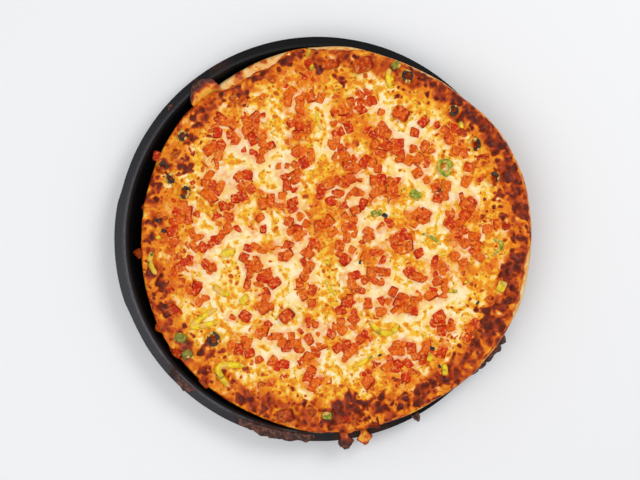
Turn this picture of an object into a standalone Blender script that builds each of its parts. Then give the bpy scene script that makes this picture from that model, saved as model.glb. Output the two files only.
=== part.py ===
"""Deep dish pizza lying askew in its own black pan.

The pizza has been lifted and put back: its left edge is down on the pan's floor and its right edge
lies on the rim. Units are metres, +Z is up, and the origin is the centre of the pan's underside.
Places on the pizza are given in millimetres as seen from above, from the middle of its top.
"""

import math
import random

import bmesh
import bpy
from mathutils import Euler, Matrix, Vector, noise
from mathutils.bvhtree import BVHTree

MM = 0.001
GAP = 0.3 * MM
SET_DOWN_GAP = 0.4 * MM
DROP_HEIGHT = 50.0 * MM

# The pan: a pressed dish of black anodised aluminium with sloping sides and a flat rolled rim
SHEET = 1.6 * MM
PAN_DEPTH = 31.0 * MM
PAN_FLOOR_RADIUS = 164.0 * MM
PAN_MOUTH_RADIUS = 177.0 * MM
PAN_RIM_RADIUS = 186.6 * MM
PAN_CORNER = 5.0 * MM
RIM_DROP = 0.6 * MM
RIM_CURL = 3.2 * MM
PAN_STEPS = 64
DENT_START, DENT_END = math.radians(165), math.radians(203)
DENT_PUSH = 1.3 * MM

# The crust: a bread disc moulded by the pan, with a low lip
CRUST_STEPS = 120
PIZZA_RADIUS = 178.2 * MM
CRUST_TOP = 16.5 * MM
LIP_TOP = 21.0 * MM
MOULDED_HEIGHT = 12.5 * MM
SHELF_RATIO = 0.885
LIP_RATIO = 0.95
LIP_OUTER_RATIO = 0.985
LIP_OUTER_DROP = 0.5 * MM
LIP_SIDE_DROP = 3.5 * MM
LIP_FOOT = LIP_TOP - 4.0 * MM
LIP_LUMP = 0.9 * MM
CRUST_CORNER_HEIGHT = 3.0 * MM

# The cheese: a lumpy sheet over the crust, thin and ragged at its edge
CHEESE_RINGS = CRUST_STEPS // 6
CHEESE_LEVEL = 22.2 * MM
RIM_START_RATIO, RIM_FULL_RATIO = 0.86, 0.95
RIM_RISE = 0.8 * MM
RIM_ROUGHER = 0.8
CHEESE_EDGE_RATIO = 0.978
CHEESE_THINNEST = 2.0 * MM
CHEESE_UNDERCUT = 0.012
LIP_GAP = 0.8 * MM
SEAT_SINK = 0.8 * MM
CALM_NEAR, CALM_FAR = 2.0 * MM, 9.0 * MM

# Two layers of lumps in the cheese: height, width and seed of each
CHEESE_LUMPS = ((1.1 * MM, 19.0 * MM, 0.5), (0.6 * MM, 9.0 * MM, 4.5))

# How the pizza lies in the pan
PIZZA_PLACE = Vector((15.0 * MM, 0.0, 0.0))
PIZZA_TILT = math.radians(4.95)
PIZZA_LIFT = 15.7 * MM

# Where along the outline the bread shows: middle and half width in degrees, and how far the cheese draws back
BARE_CRUST = ((117, 11, 0.05), (346, 11, 0.05), (315, 12, 0.04), (90, 7, 0.018))

# Heaps of diced tomato: x, y in mm and how many dice the heap has
HEAPS = (
    (-102, 102, 5), (-76, 108, 3), (-71, 87, 4), (-112, 81, 2), (-160, 76, 1), (-146, 80, 1),
    (-36, 130, 4), (-28, 110, 5), (-17, 128, 1), (-50, 156, 1), (25, 129, 2), (8, 114, 3),
    (47, 114, 1), (-4, 92, 3), (12, 74, 3), (40, 94, 4), (60, 82, 2), (33, 72, 1), (-34, 73, 3),
    (75, 106, 2), (77, 80, 4), (108, 97, 2), (110, 82, 1), (135, 77, 1), (117, 64, 2),
    (-116, 60, 1), (-84, 55, 2), (-114, 46, 2), (-93, 38, 1), (-100, 26, 2), (-140, 25, 2),
    (-99, 11, 1), (-69, 15, 2), (-60, 37, 1), (-149, 4, 2), (-124, -2, 2), (-106, 0, 2),
    (-76, -12, 4), (-72, -30, 3), (-142, -20, 3), (-113, -24, 1), (-123, -48, 3), (-76, -42, 3),
    (-97, -56, 1), (-44, 56, 2), (-44, 38, 2), (-34, 16, 4), (-23, -3, 1), (-47, -9, 2),
    (-5, 43, 4), (13, 57, 1), (45, 51, 3), (27, 40, 2), (60, 38, 1), (14, 23, 3), (12, 9, 2),
    (45, 18, 1), (30, 3, 1), (-10, 14, 1), (9, -7, 2), (38, -15, 2), (38, -31, 3), (18, -32, 1),
    (14, -46, 4), (-28, -20, 1), (-28, -42, 2), (-26, -55, 2), (-60, -35, 1), (56, -2, 3),
    (54, -52, 2), (79, 58, 2), (95, 46, 2), (77, 22, 2), (120, 29, 3), (109, 19, 2), (117, 4, 2),
    (74, -5, 3), (106, -9, 2), (127, -9, 1), (117, -20, 1), (95, -27, 2), (73, -33, 1),
    (95, -45, 2), (147, -26, 2), (72, -57, 1), (-101, -68, 3), (-83, -69, 1), (-62, -60, 1),
    (-130, -79, 1), (-86, -95, 3), (-60, -84, 3), (-132, -101, 2), (-80, -113, 3), (-118, -124, 2),
    (-46, -88, 2), (-21, -77, 1), (-26, -99, 4), (-20, -124, 2), (-53, -115, 1), (10, -63, 3),
    (3, -78, 3), (34, -64, 2), (65, -66, 2), (30, -91, 2), (53, -92, 3), (58, -108, 2),
    (38, -114, 1), (25, -122, 1), (60, -121, 2), (10, -101, 2), (101, -77, 3), (76, -100, 2),
    (97, -103, 1), (-26, -160, 2), (36, -166, 1),
)
HEAP_SPACING = 9.0 * MM
DIE_LONG = (8.5 * MM, 12.5 * MM)
DIE_WIDE = (7.0 * MM, 10.0 * MM)
DIE_HIGH = (5.5 * MM, 7.5 * MM)
DIE_LEAN = 0.2
DIE_TAPER = 0.9
DIE_PROUD = 2.6 * MM
DIE_ABOVE_BREAD = 1.4 * MM
DIE_LEAST_SUNK = 0.8 * MM

# Banana pepper: name, half thickness in mm, and three places along each strip
PEPPERS = (
    ("pepper_ring_1", 2.1, (-109, -62), (-131, -78), (-107, -74)),
    ("pepper_ring_2", 2.4, (-83, -115), (-107, -116), (-97, -134)),
    ("pepper_strip_1", 1.7, (-167, -10), (-170, -20), (-164, -31)),
    ("pepper_strip_2", 2.0, (-112, -40), (-106, -47), (-98, -49)),
    ("pepper_strip_3", 1.8, (-18, 119), (-16, 109), (-12, 101)),
    ("pepper_strip_4", 2.0, (50, 157), (48, 149), (51, 139)),
    ("pepper_strip_5", 2.2, (31, -73), (45, -85), (58, -77)),
    ("pepper_strip_6", 1.5, (-9, -35), (-6, -43), (1, -50)),
    ("pepper_strip_7", 1.6, (34, -103), (26, -111), (17, -115)),
    ("green_strip_1", 1.9, (144, 1), (152, -4), (143, -14)),
    ("green_strip_2", 1.4, (79, 6), (88, 3), (96, -4)),
)
STRIP_POINTS = 7
STRIP_FLATTER = 0.75

# Chunks as large as berries: name, place in mm, length, width and height in mm, and turn in degrees
CHUNKS = (
    ("tomato_1", 25, 160, 19, 14, 6, 20),
    ("tomato_2", 60, 116, 15, 12, 6, -25),
    ("tomato_3", -45, -69, 15, 12, 6, 40),
    ("tomato_4", -46, -160, 16, 12, 5, 10),
    ("tomato_5", -5, 161, 17, 9, 5, 5),
    ("pepper_piece_1", 152, -42, 11, 8, 4, 70),
    ("pepper_piece_2", -99, -11, 11, 8, 4, 15),
    ("pepper_piece_3", -84, -54, 10, 7, 4, 50),
    ("green_piece_1", 55, 160, 9, 7, 4, 30),
    ("green_piece_2", 73, 42, 11, 8, 4, -35),
    ("green_piece_3", 37, 25, 10, 6, 3, 10),
    ("green_piece_4", -142, -89, 12, 9, 4, -20),
    ("green_piece_5", -136, -104, 10, 8, 4, 25),
    ("green_piece_6", -8, -160, 9, 7, 4, 0),
)
CHUNK_CHAMFER = 0.18
CHUNK_TAPER = 0.82
CHUNK_UNEVEN = 0.07

# Slices of olive and green chilli: name, place in mm, outer diameter, ring thickness in mm, tilt in degrees
SLICES = (
    ("olive_1", 66, 150, 13, 3.6, 24),
    ("olive_2", -138, 44, 13, 4.0, 12),
    ("olive_3", -151, 57, 11, 3.6, 10),
    ("olive_4", -158, 68, 11, 3.6, 14),
    ("olive_5", 128, 88, 13, 3.8, 16),
    ("olive_6", 145, 57, 12, 3.4, 10),
    ("olive_7", -112, -90, 15, 4.2, 12),
    ("olive_8", -140, 96, 12, 3.6, 12),
    ("olive_9", 108, 119, 11, 3.4, 14),
    ("green_slice_1", 100, 67, 17, 5.0, 8),
)

# Burnt cheese on the rim: name, first and last angle in degrees round the pan, inner radius and outer
# radius at either end in mm, thickness in mm, and the depth in mm and number of the lumps along its edge
CRISPS = (
    ("crisp_lobe", 123, 133, 167.0, 183.5, 181.0, 2.6, 2.0, 2),
    ("crisp_crumb_1", 137, 140, 180.0, 185.0, 185.0, 3.0, 1.0, 1),
    ("crisp_film", 224, 231, 179.0, 186.5, 187.0, 1.2, 1.0, 2),
    ("crisp_skirt", 246, 269, 179.5, 186.5, 188.0, 1.6, 2.4, 5),
    ("crisp_drip", 275.5, 280, 178.8, 196.5, 194.5, 2.3, 1.0, 2),
    ("crisp_blob", 281.2, 285.4, 180.0, 193.5, 193.0, 3.4, 2.0, 1),
    ("crisp_crumb_2", 297.7, 300.2, 183.5, 191.5, 191.5, 3.2, 1.8, 1),
    ("crisp_strip", 317, 333.5, 181.0, 189.5, 197.0, 2.8, 3.6, 5),
)
STEPS_PER_LUMP = 3
CRISP_END = 0.12
CRISP_DROOP = 0.06
CRISP_SAG = 0.25

# Colours as red, green, blue in linear light, with roughness
BLACK_METAL = ((0.012, 0.012, 0.013), 0.45)
BREAD = ((0.80, 0.47, 0.19), 0.75)
CHEESE = ((0.90, 0.62, 0.24), 0.45)
TOMATO = ((0.72, 0.06, 0.02), 0.35)
PEPPER = ((0.85, 0.56, 0.03), 0.35)
GREEN = ((0.33, 0.42, 0.06), 0.40)
OLIVE = ((0.035, 0.026, 0.030), 0.35)
BURNT = ((0.13, 0.035, 0.018), 0.55)


def clear_scene():
    """Start from an empty scene."""
    for old in list(bpy.data.objects):
        bpy.data.objects.remove(old, do_unlink=True)


def new_collection(name):
    """A collection under the scene's own."""
    made = bpy.data.collections.new(name)
    bpy.context.scene.collection.children.link(made)
    return made


def new_material(name, finish):
    """A plain Principled material."""
    colour, roughness = finish
    made = bpy.data.materials.new(name)
    made.use_nodes = True
    shader = made.node_tree.nodes["Principled BSDF"]
    shader.inputs["Base Color"].default_value = (*colour, 1.0)
    shader.inputs["Roughness"].default_value = roughness
    made.diffuse_color = (*colour, 1.0)
    return made


def new_object(name, mesh, material, parts, parent=None):
    """Name a mesh as one piece of the pizza and put it in its collection."""
    made = bpy.data.objects.new(name, mesh)
    made.data.name = name
    made.data.materials.clear()
    made.data.materials.append(material)
    parts.objects.link(made)
    made.parent = parent
    return made


def mesh_of(bm, name):
    """Turn a finished bmesh into a mesh with its faces pointing out."""
    bmesh.ops.recalc_face_normals(bm, faces=bm.faces[:])
    mesh = bpy.data.meshes.new(name)
    bm.to_mesh(mesh)
    bm.free()
    return mesh


def turned(name, profile, steps):
    """Spin a profile of (radius, height) round +Z with a Screw modifier and keep the result as a mesh."""
    wire = bpy.data.meshes.new(name)
    wire.from_pydata([(r, 0.0, z) for r, z in profile], [(i, i + 1) for i in range(len(profile) - 1)], [])
    maker = bpy.data.objects.new(name, wire)
    bpy.context.scene.collection.objects.link(maker)
    screw = maker.modifiers.new("turn", "SCREW")
    screw.steps = steps
    screw.render_steps = steps
    screw.use_merge_vertices = True
    screw.merge_threshold = 0.01 * MM
    screw.use_smooth_shade = True
    mesh = applied(maker)
    bpy.data.objects.remove(maker)
    return mesh


def applied(maker):
    """The mesh that an object shows with its modifiers."""
    shown = maker.evaluated_get(bpy.context.evaluated_depsgraph_get())
    return bpy.data.meshes.new_from_object(shown)


def smooth_step(low, high, value):
    """0 below low, 1 above high, and smooth between."""
    t = min(max((value - low) / (high - low), 0.0), 1.0)
    return t * t * (3.0 - 2.0 * t)


def window(angle, start, end, soft):
    """1 between two angles and 0 outside, with soft ends; all in radians."""
    return smooth_step(start, start + soft, angle) * (1.0 - smooth_step(end - soft, end, angle))


def pan_profile():
    """From the middle of the floor up the inner wall, over the rim, and back underneath."""
    slope = (PAN_MOUTH_RADIUS - PAN_FLOOR_RADIUS) / PAN_DEPTH
    outer_floor = PAN_FLOOR_RADIUS + SHEET
    rim_under = PAN_DEPTH - RIM_DROP - SHEET
    return (
        (0.0, SHEET),
        (PAN_FLOOR_RADIUS - PAN_CORNER, SHEET),
        (PAN_FLOOR_RADIUS + slope * PAN_CORNER, SHEET + PAN_CORNER * 0.8),
        (PAN_MOUTH_RADIUS - slope * SHEET, PAN_DEPTH - SHEET),
        (PAN_MOUTH_RADIUS + SHEET, PAN_DEPTH),
        (PAN_RIM_RADIUS - SHEET, PAN_DEPTH - RIM_DROP),
        (PAN_RIM_RADIUS, PAN_DEPTH - RIM_DROP - SHEET * 0.6),
        (PAN_RIM_RADIUS, PAN_DEPTH - RIM_DROP - RIM_CURL),
        (PAN_RIM_RADIUS - SHEET, PAN_DEPTH - RIM_DROP - RIM_CURL),
        (PAN_RIM_RADIUS - SHEET, rim_under),
        (PAN_MOUTH_RADIUS + SHEET * 1.4, PAN_DEPTH - SHEET),
        (outer_floor + slope * PAN_CORNER, PAN_CORNER * 0.8),
        (PAN_FLOOR_RADIUS - PAN_CORNER + SHEET, 0.0),
        (0.0, 0.0),
    )


def build_pan(material, parts):
    """The pan, with the push outward in its rim on the left."""
    mesh = turned("pan", pan_profile(), PAN_STEPS)
    for vertex in mesh.vertices:
        x, y, z = vertex.co
        angle = math.atan2(y, x) % math.tau
        push = DENT_PUSH * window(angle, DENT_START, DENT_END, math.radians(6))
        push *= smooth_step(PAN_MOUTH_RADIUS, PAN_RIM_RADIUS, math.hypot(x, y))
        vertex.co += Vector((math.cos(angle), math.sin(angle), 0.0)) * push
    mesh.set_sharp_from_angle(angle=math.radians(40))
    return new_object("pan", mesh, material, parts)


def outline(angle):
    """The pizza's uneven radius at an angle round its middle."""
    wave = 2.6 * math.cos(2 * angle) + 0.4 * math.sin(2 * angle) + 1.4 * math.cos(3 * angle)
    wave += 0.5 * math.cos(4 * angle) + 0.5 * math.sin(4 * angle) - 1.0 * math.cos(6 * angle)
    ragged = noise.noise(Vector((math.cos(angle) * 5.0, math.sin(angle) * 5.0, 3.7)))
    return PIZZA_RADIUS + (wave + 1.6 * ragged) * MM


def lip_lump(angle):
    """How much higher or lower the lip is at an angle."""
    return LIP_LUMP * noise.noise(Vector((math.cos(angle) * 4.0, math.sin(angle) * 4.0, 9.1)))


def crust_top(ratio, angle):
    """Height of the bread at a share of the pizza's radius."""
    lump = lip_lump(angle)
    places = (
        (0.0, CRUST_TOP),
        (SHELF_RATIO, CRUST_TOP),
        (LIP_RATIO, LIP_TOP + lump),
        (LIP_OUTER_RATIO, LIP_TOP - LIP_OUTER_DROP + lump),
        (1.0, LIP_TOP - LIP_SIDE_DROP + lump),
    )
    for (r0, z0), (r1, z1) in zip(places, places[1:]):
        if ratio <= r1:
            return z0 + (z1 - z0) * (ratio - r0) / (r1 - r0)
    return places[-1][1]


def crust_profile():
    """From the middle of the bread's top over its lip, down the side that the pan moulded, and underneath."""
    slope = (PAN_MOUTH_RADIUS - PAN_FLOOR_RADIUS) / PAN_DEPTH
    return (
        (0.0, CRUST_TOP),
        (SHELF_RATIO * PIZZA_RADIUS, CRUST_TOP),
        (LIP_RATIO * PIZZA_RADIUS, LIP_TOP),
        (LIP_OUTER_RATIO * PIZZA_RADIUS, LIP_TOP - LIP_OUTER_DROP),
        (PIZZA_RADIUS, LIP_TOP - LIP_SIDE_DROP),
        (PAN_FLOOR_RADIUS + slope * MOULDED_HEIGHT, MOULDED_HEIGHT),
        (PAN_FLOOR_RADIUS, CRUST_CORNER_HEIGHT),
        (PAN_FLOOR_RADIUS - PAN_CORNER, 0.0),
        (0.0, 0.0),
    )


def build_crust(material, parts, parent):
    """The bread: flat under the cheese, a lumpy lip, and a side as smooth as the pan that moulded it."""
    mesh = turned("crust", crust_profile(), CRUST_STEPS)
    for vertex in mesh.vertices:
        x, y, z = vertex.co
        radius = math.hypot(x, y)
        if radius < MM:
            continue
        angle = math.atan2(y, x)
        share = smooth_step(MOULDED_HEIGHT, LIP_FOOT, z)
        scale = 1.0 + (outline(angle) / PIZZA_RADIUS - 1.0) * share
        ratio = radius / PIZZA_RADIUS
        if z > LIP_FOOT and ratio > (SHELF_RATIO + LIP_RATIO) / 2.0:
            z = crust_top(min(ratio, 1.0), angle)
        vertex.co = (x * scale, y * scale, z)
    mesh.set_sharp_from_angle(angle=math.radians(50))
    return new_object("crust", mesh, material, parts, parent)


def on_pizza(x, y):
    """A place read off the top in mm, in metres; the raised side looks larger from above."""
    scale = 1.001 - 0.00007 * x
    return Vector(((x * scale + 3.4) * MM, (y * scale - 1.4) * MM))


def cheese_edge(angle):
    """Share of the outline that the cheese reaches."""
    degrees = math.degrees(angle) % 360.0
    back = 0.0
    for middle, half, depth in BARE_CRUST:
        away = abs((degrees - middle + 180.0) % 360.0 - 180.0)
        back = max(back, depth * (1.0 - smooth_step(half * 0.6, half * 1.4, away)))
    ragged = noise.noise(Vector((math.cos(angle) * 11.0, math.sin(angle) * 11.0, 1.3)))
    return CHEESE_EDGE_RATIO - back + 0.006 * ragged


def strip_path(points):
    """Places along a strip through three points, in metres."""
    first, middle, last = (on_pizza(*point) for point in points)
    bend = middle * 2.0 - (first + last) * 0.5
    steps = [i / (STRIP_POINTS - 1) for i in range(STRIP_POINTS)]
    return [first * (1 - t) ** 2 + bend * 2 * t * (1 - t) + last * t * t for t in steps]


def seats():
    """Every place with a topping of its own, and the radius that it needs."""
    found = []
    for _, half, *points in PEPPERS:
        found += [(place, half * MM) for place in strip_path(points)]
    for _, x, y, long, wide, _, _ in CHUNKS:
        found.append((on_pizza(x, y), 0.5 * math.hypot(long, wide) * MM))
    for _, x, y, across, _, _ in SLICES:
        found.append((on_pizza(x, y), 0.5 * across * MM))
    return found


def cheese_height(x, y, seat_list):
    """Height of the cheese's upper side."""
    radius, angle = math.hypot(x, y), math.atan2(y, x)
    ratio = radius / outline(angle)
    rough = sum(high * noise.noise(Vector((x / wide, y / wide, seed))) for high, wide, seed in CHEESE_LUMPS)
    rim = smooth_step(RIM_START_RATIO, RIM_FULL_RATIO, ratio)
    level = CHEESE_LEVEL + RIM_RISE * rim + rough * (1.0 + RIM_ROUGHER * rim)
    for place, reach in seat_list:
        away = math.hypot(place.x - x, place.y - y)
        calm = 1.0 - smooth_step(reach + CALM_NEAR, reach + CALM_FAR, away)
        level += (CHEESE_LEVEL - SEAT_SINK - level) * calm
    return max(level, crust_top(ratio, angle) + GAP + CHEESE_THINNEST)


def round_place(x, y):
    """Move a place on a unit hexagon, with a corner at 30 degrees, out to its circle."""
    sector, start = math.pi / 3.0, math.pi / 6.0
    if math.hypot(x, y) < 1e-6:
        return 0.0, 0.0
    number = math.floor((math.atan2(y, x) - start) / sector)
    middle = start + (number + 0.5) * sector
    ring = (x * math.cos(middle) + y * math.sin(middle)) / math.cos(sector / 2.0)
    corner = start + number * sector
    along = math.hypot(x - ring * math.cos(corner), y - ring * math.sin(corner)) / ring
    return ring, corner + along * sector


def cheese_core(seat_list):
    """The sheet of cheese: an even net of triangles on top, and an underside that follows the bread."""
    bm = bmesh.new()
    bmesh.ops.create_circle(bm, cap_ends=True, cap_tris=True, segments=6, radius=1.0)
    bmesh.ops.subdivide_edges(bm, edges=bm.edges[:], cuts=CHEESE_RINGS - 1, use_grid_fill=True)
    for vertex in bm.verts:
        ring, angle = round_place(vertex.co.x, vertex.co.y)
        radius = ring * cheese_edge(angle) * outline(angle)
        x, y = radius * math.cos(angle), radius * math.sin(angle)
        vertex.co = (x, y, cheese_height(x, y, seat_list))
    rim = [edge for edge in bm.edges if edge.is_boundary]
    for most in (1.0, LIP_RATIO, SHELF_RATIO):
        grown = bmesh.ops.extrude_edge_only(bm, edges=rim)["geom"]
        rim = [item for item in grown if isinstance(item, bmesh.types.BMEdge)]
        for vertex in (item for item in grown if isinstance(item, bmesh.types.BMVert)):
            angle = math.atan2(vertex.co.y, vertex.co.x)
            edge = cheese_edge(angle)
            inner = most if edge > most + 0.25 * CHEESE_UNDERCUT else edge - CHEESE_UNDERCUT
            ratio = edge if most == 1.0 else inner
            radius = ratio * outline(angle)
            height = crust_top(ratio, angle) + (GAP if most == SHELF_RATIO else LIP_GAP)
            vertex.co = (radius * math.cos(angle), radius * math.sin(angle), height)
    bmesh.ops.holes_fill(bm, edges=rim, sides=0)
    return mesh_of(bm, "cheese")


def heap_dice(number, x, y, count):
    """The dice of one heap: place, size and turn of each."""
    draw = random.Random(4100 + number)
    middle = on_pizza(x, y)
    turn = draw.uniform(0.0, math.tau)
    for index in range(count):
        reach = 0.0 if count == 1 else HEAP_SPACING * (0.62 if count < 4 else 0.85)
        around = turn + math.tau * index / count + draw.uniform(-0.4, 0.4)
        place = middle + Vector((math.cos(around), math.sin(around))) * reach * draw.uniform(0.8, 1.2)
        size = Vector((draw.uniform(*DIE_LONG), draw.uniform(*DIE_WIDE), draw.uniform(*DIE_HIGH)))
        tip = [draw.uniform(-DIE_LEAN, DIE_LEAN) for _ in range(2)]
        yield place, size, Euler((*tip, draw.uniform(0.0, math.pi)))


def clear_of_seats(place, size, seat_list):
    """True where a die leaves the single toppings free."""
    reach = 0.5 * math.hypot(size.x, size.y) + 1.0 * MM
    return all((place - seat).length > reach + radius for seat, radius in seat_list)


def add_die(place, size, lean, seat_list, heap):
    """One die, sunk in the cheese but never through it, or none where the cheese is too thin for it."""
    bm = bmesh.new()
    bmesh.ops.create_cube(bm, size=1.0)
    shape = lean.to_matrix() @ Matrix.Diagonal(size)
    for vertex in bm.verts:
        taper = DIE_TAPER if vertex.co.z > 0 else 1.0
        vertex.co = shape @ Vector((vertex.co.x * taper, vertex.co.y * taper, vertex.co.z))
    surface = cheese_height(place.x, place.y, seat_list)
    lowest = min(vertex.co.z for vertex in bm.verts)
    lift = surface + DIE_PROUD - max(vertex.co.z for vertex in bm.verts)
    for spot in [vertex.co.xy + place for vertex in bm.verts] + [place]:
        angle = math.atan2(spot.y, spot.x)
        bread = crust_top(spot.length / outline(angle), angle)
        lift = max(lift, bread + DIE_ABOVE_BREAD - lowest)
    if lowest + lift > surface - DIE_LEAST_SUNK:
        bm.free()
        return
    for vertex in bm.verts:
        vertex.co += Vector((place.x, place.y, lift))
    heap.objects.link(bpy.data.objects.new("die", mesh_of(bm, "die")))


def dice_for_solid(count):
    """How many of a heap's dice are large enough to be in the solid."""
    return 1 + (count > 2) + (count > 4)


def build_cheese(material, parts, parent, seat_list):
    """The cheese with the largest tomato dice joined to it by one union."""
    heap = new_collection("dice to join")
    for number, (x, y, count) in enumerate(HEAPS):
        dice = list(heap_dice(number, x, y, count))[:dice_for_solid(count)]
        for place, size, lean in dice:
            if clear_of_seats(place, size, seat_list):
                add_die(place, size, lean, seat_list, heap)
    core = bpy.data.objects.new("core", cheese_core(seat_list))
    bpy.context.scene.collection.objects.link(core)
    union = core.modifiers.new("join", "BOOLEAN")
    union.operation = "UNION"
    union.operand_type = "COLLECTION"
    union.collection = heap
    union.solver = "EXACT"
    bpy.context.view_layer.update()
    mesh = applied(core)
    bpy.data.objects.remove(core)
    for die in list(heap.objects):
        bpy.data.objects.remove(die)
    bpy.data.collections.remove(heap)
    cheese = new_object("cheese", mesh, material, parts, parent)
    mesh.set_sharp_from_angle(angle=math.radians(35))
    return cheese


def probe(mesh):
    """A mesh's tree for ray casts, and points on its corners and along its edges."""
    corners = [vertex.co.copy() for vertex in mesh.vertices]
    points = list(corners)
    for edge in mesh.edges:
        first, last = (corners[i] for i in edge.vertices)
        points += [first.lerp(last, share) for share in (0.25, 0.5, 0.75)]
    return BVHTree.FromPolygons(corners, [face.vertices for face in mesh.polygons]), points


def set_down(mesh, ground):
    """Lower a mesh until it is just clear of the ground below it."""
    mesh.transform(Matrix.Translation((0.0, 0.0, DROP_HEIGHT)))
    tree, points = probe(mesh)
    ground_tree, ground_points = ground
    low = [min(point[i] for point in points) for i in range(2)]
    high = [max(point[i] for point in points) for i in range(2)]
    under = [p for p in ground_points if low[0] <= p.x <= high[0] and low[1] <= p.y <= high[1]]
    falls = [ground_tree.ray_cast(point, Vector((0.0, 0.0, -1.0)))[3] for point in points]
    falls += [tree.ray_cast(point, Vector((0.0, 0.0, 1.0)))[3] for point in under]
    nearest = min(fall for fall in falls if fall is not None)
    mesh.transform(Matrix.Translation((0.0, 0.0, SET_DOWN_GAP - nearest)))


def strip_mesh(name, half, points):
    """A bent strip of pepper: a round-edged tube along a curve, pressed flatter."""
    path = strip_path(points)
    curve = bpy.data.curves.new(name, "CURVE")
    curve.dimensions = "3D"
    curve.bevel_depth = half * MM
    curve.bevel_resolution = 1
    curve.use_fill_caps = True
    spline = curve.splines.new("POLY")
    spline.points.add(len(path) - 1)
    for point, place in zip(spline.points, path):
        point.co = (place.x, place.y, 0.0, 1.0)
    maker = bpy.data.objects.new(name, curve)
    bpy.context.scene.collection.objects.link(maker)
    bpy.context.view_layer.update()
    mesh = applied(maker)
    bpy.data.objects.remove(maker)
    bm = bmesh.new()
    bm.from_mesh(mesh)
    bmesh.ops.remove_doubles(bm, verts=bm.verts[:], dist=0.01 * MM)
    for vertex in bm.verts:
        vertex.co.z *= STRIP_FLATTER
    return mesh_of(bm, name)


def chunk_mesh(name, x, y, size, turn, seed):
    """A rough cut chunk: a block with bevelled edges, narrower on top and a little uneven."""
    draw = random.Random(seed)
    bm = bmesh.new()
    bmesh.ops.create_cube(bm, size=1.0)
    for vertex in bm.verts:
        taper = CHUNK_TAPER if vertex.co.z > 0 else 1.0
        push = Vector([draw.uniform(-CHUNK_UNEVEN, CHUNK_UNEVEN) for _ in range(3)])
        vertex.co = Vector((vertex.co.x * taper, vertex.co.y * taper, vertex.co.z)) + push
    bmesh.ops.bevel(bm, geom=bm.edges[:], offset=CHUNK_CHAMFER, segments=1, affect="EDGES")
    place = on_pizza(x, y)
    shape = Matrix.Translation((place.x, place.y, 0.0)) @ Matrix.Rotation(math.radians(turn), 4, "Z")
    bmesh.ops.transform(bm, matrix=shape @ Matrix.Diagonal((*[s * MM for s in size], 1.0)), verts=bm.verts)
    return mesh_of(bm, name)


def slice_mesh(name, x, y, across, thick, tilt):
    """A slice of olive or chilli: a fat ring, tipped a little."""
    tube = thick * MM * 0.5
    bpy.ops.mesh.primitive_torus_add(
        major_segments=12, minor_segments=5, major_radius=0.5 * across * MM - tube, minor_radius=tube)
    maker = bpy.context.object
    mesh = maker.data
    mesh.name = name
    bpy.data.objects.remove(maker)
    place = on_pizza(x, y)
    tip = Matrix.Rotation(math.radians(tilt), 4, "X") @ Matrix.Rotation(math.radians(7 * across), 4, "Z")
    mesh.transform(Matrix.Translation((place.x, place.y, 0.0)) @ tip)
    return mesh


def build_toppings(finishes, parts, parent, cheese):
    """Every topping as large as a berry, set down on the cheese."""
    ground = probe(cheese.data)
    made = [(name, strip_mesh(name, half, points)) for name, half, *points in PEPPERS]
    for number, (name, x, y, long, wide, high, turn) in enumerate(CHUNKS):
        made.append((name, chunk_mesh(name, x, y, (long, wide, high), turn, number)))
    made += [(name, slice_mesh(name, *rest)) for name, *rest in SLICES]
    for name, mesh in made:
        set_down(mesh, ground)
        mesh.shade_smooth()
        mesh.set_sharp_from_angle(angle=math.radians(50))
        new_object(name, mesh, finishes[name.split("_")[0]], parts, parent)


def rim_height(radius):
    """Top of the pan's flat rim at a radius, with the same slope to either side of it."""
    share = (radius - PAN_MOUTH_RADIUS - SHEET) / (PAN_RIM_RADIUS - 2 * SHEET - PAN_MOUTH_RADIUS)
    return PAN_DEPTH - RIM_DROP * share


def crisp_mesh(name, start, end, inner, outer_start, outer_end, thick, scallop, lumps):
    """A flake of burnt cheese lying on the rim: a bent grid made solid, lumpy on top and along its edge."""
    first, last = math.radians(start), math.radians(end)
    bm = bmesh.new()
    bmesh.ops.create_grid(bm, x_segments=max(4, lumps * STEPS_PER_LUMP), y_segments=3, size=0.5)
    for vertex in bm.verts:
        u, v = vertex.co.x + 0.5, vertex.co.y + 0.5
        angle = first + (last - first) * u
        taper = math.sin(math.pi * min(max(u, CRISP_END), 1.0 - CRISP_END))
        outer = outer_start + (outer_end - outer_start) * u
        bulge = scallop * abs(math.sin(math.pi * lumps * u)) * v
        radius = (inner + (outer - inner) * v * (0.55 + 0.45 * taper) + bulge) * MM
        height = rim_height(radius) + 2.0 * GAP - CRISP_DROOP * max(0.0, radius - PAN_RIM_RADIUS)
        height -= CRISP_SAG * max(0.0, PAN_MOUTH_RADIUS - radius)
        vertex.co = (radius * math.cos(angle), radius * math.sin(angle), height)
    base = bm.faces[:]
    top = bmesh.ops.extrude_face_region(bm, geom=base)["geom"]
    for vertex in (item for item in top if isinstance(item, bmesh.types.BMVert)):
        lump = noise.noise(vertex.co * 160.0)
        vertex.co.z += thick * MM * (0.85 + 0.35 * lump)
    return mesh_of(bm, name)


def build_crisps(material, parts):
    """Burnt cheese that ran on to the rim."""
    for name, *rest in CRISPS:
        mesh = crisp_mesh(name, *rest)
        mesh.shade_smooth()
        mesh.set_sharp_from_angle(angle=math.radians(50))
        new_object(name, mesh, material, parts)


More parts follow.
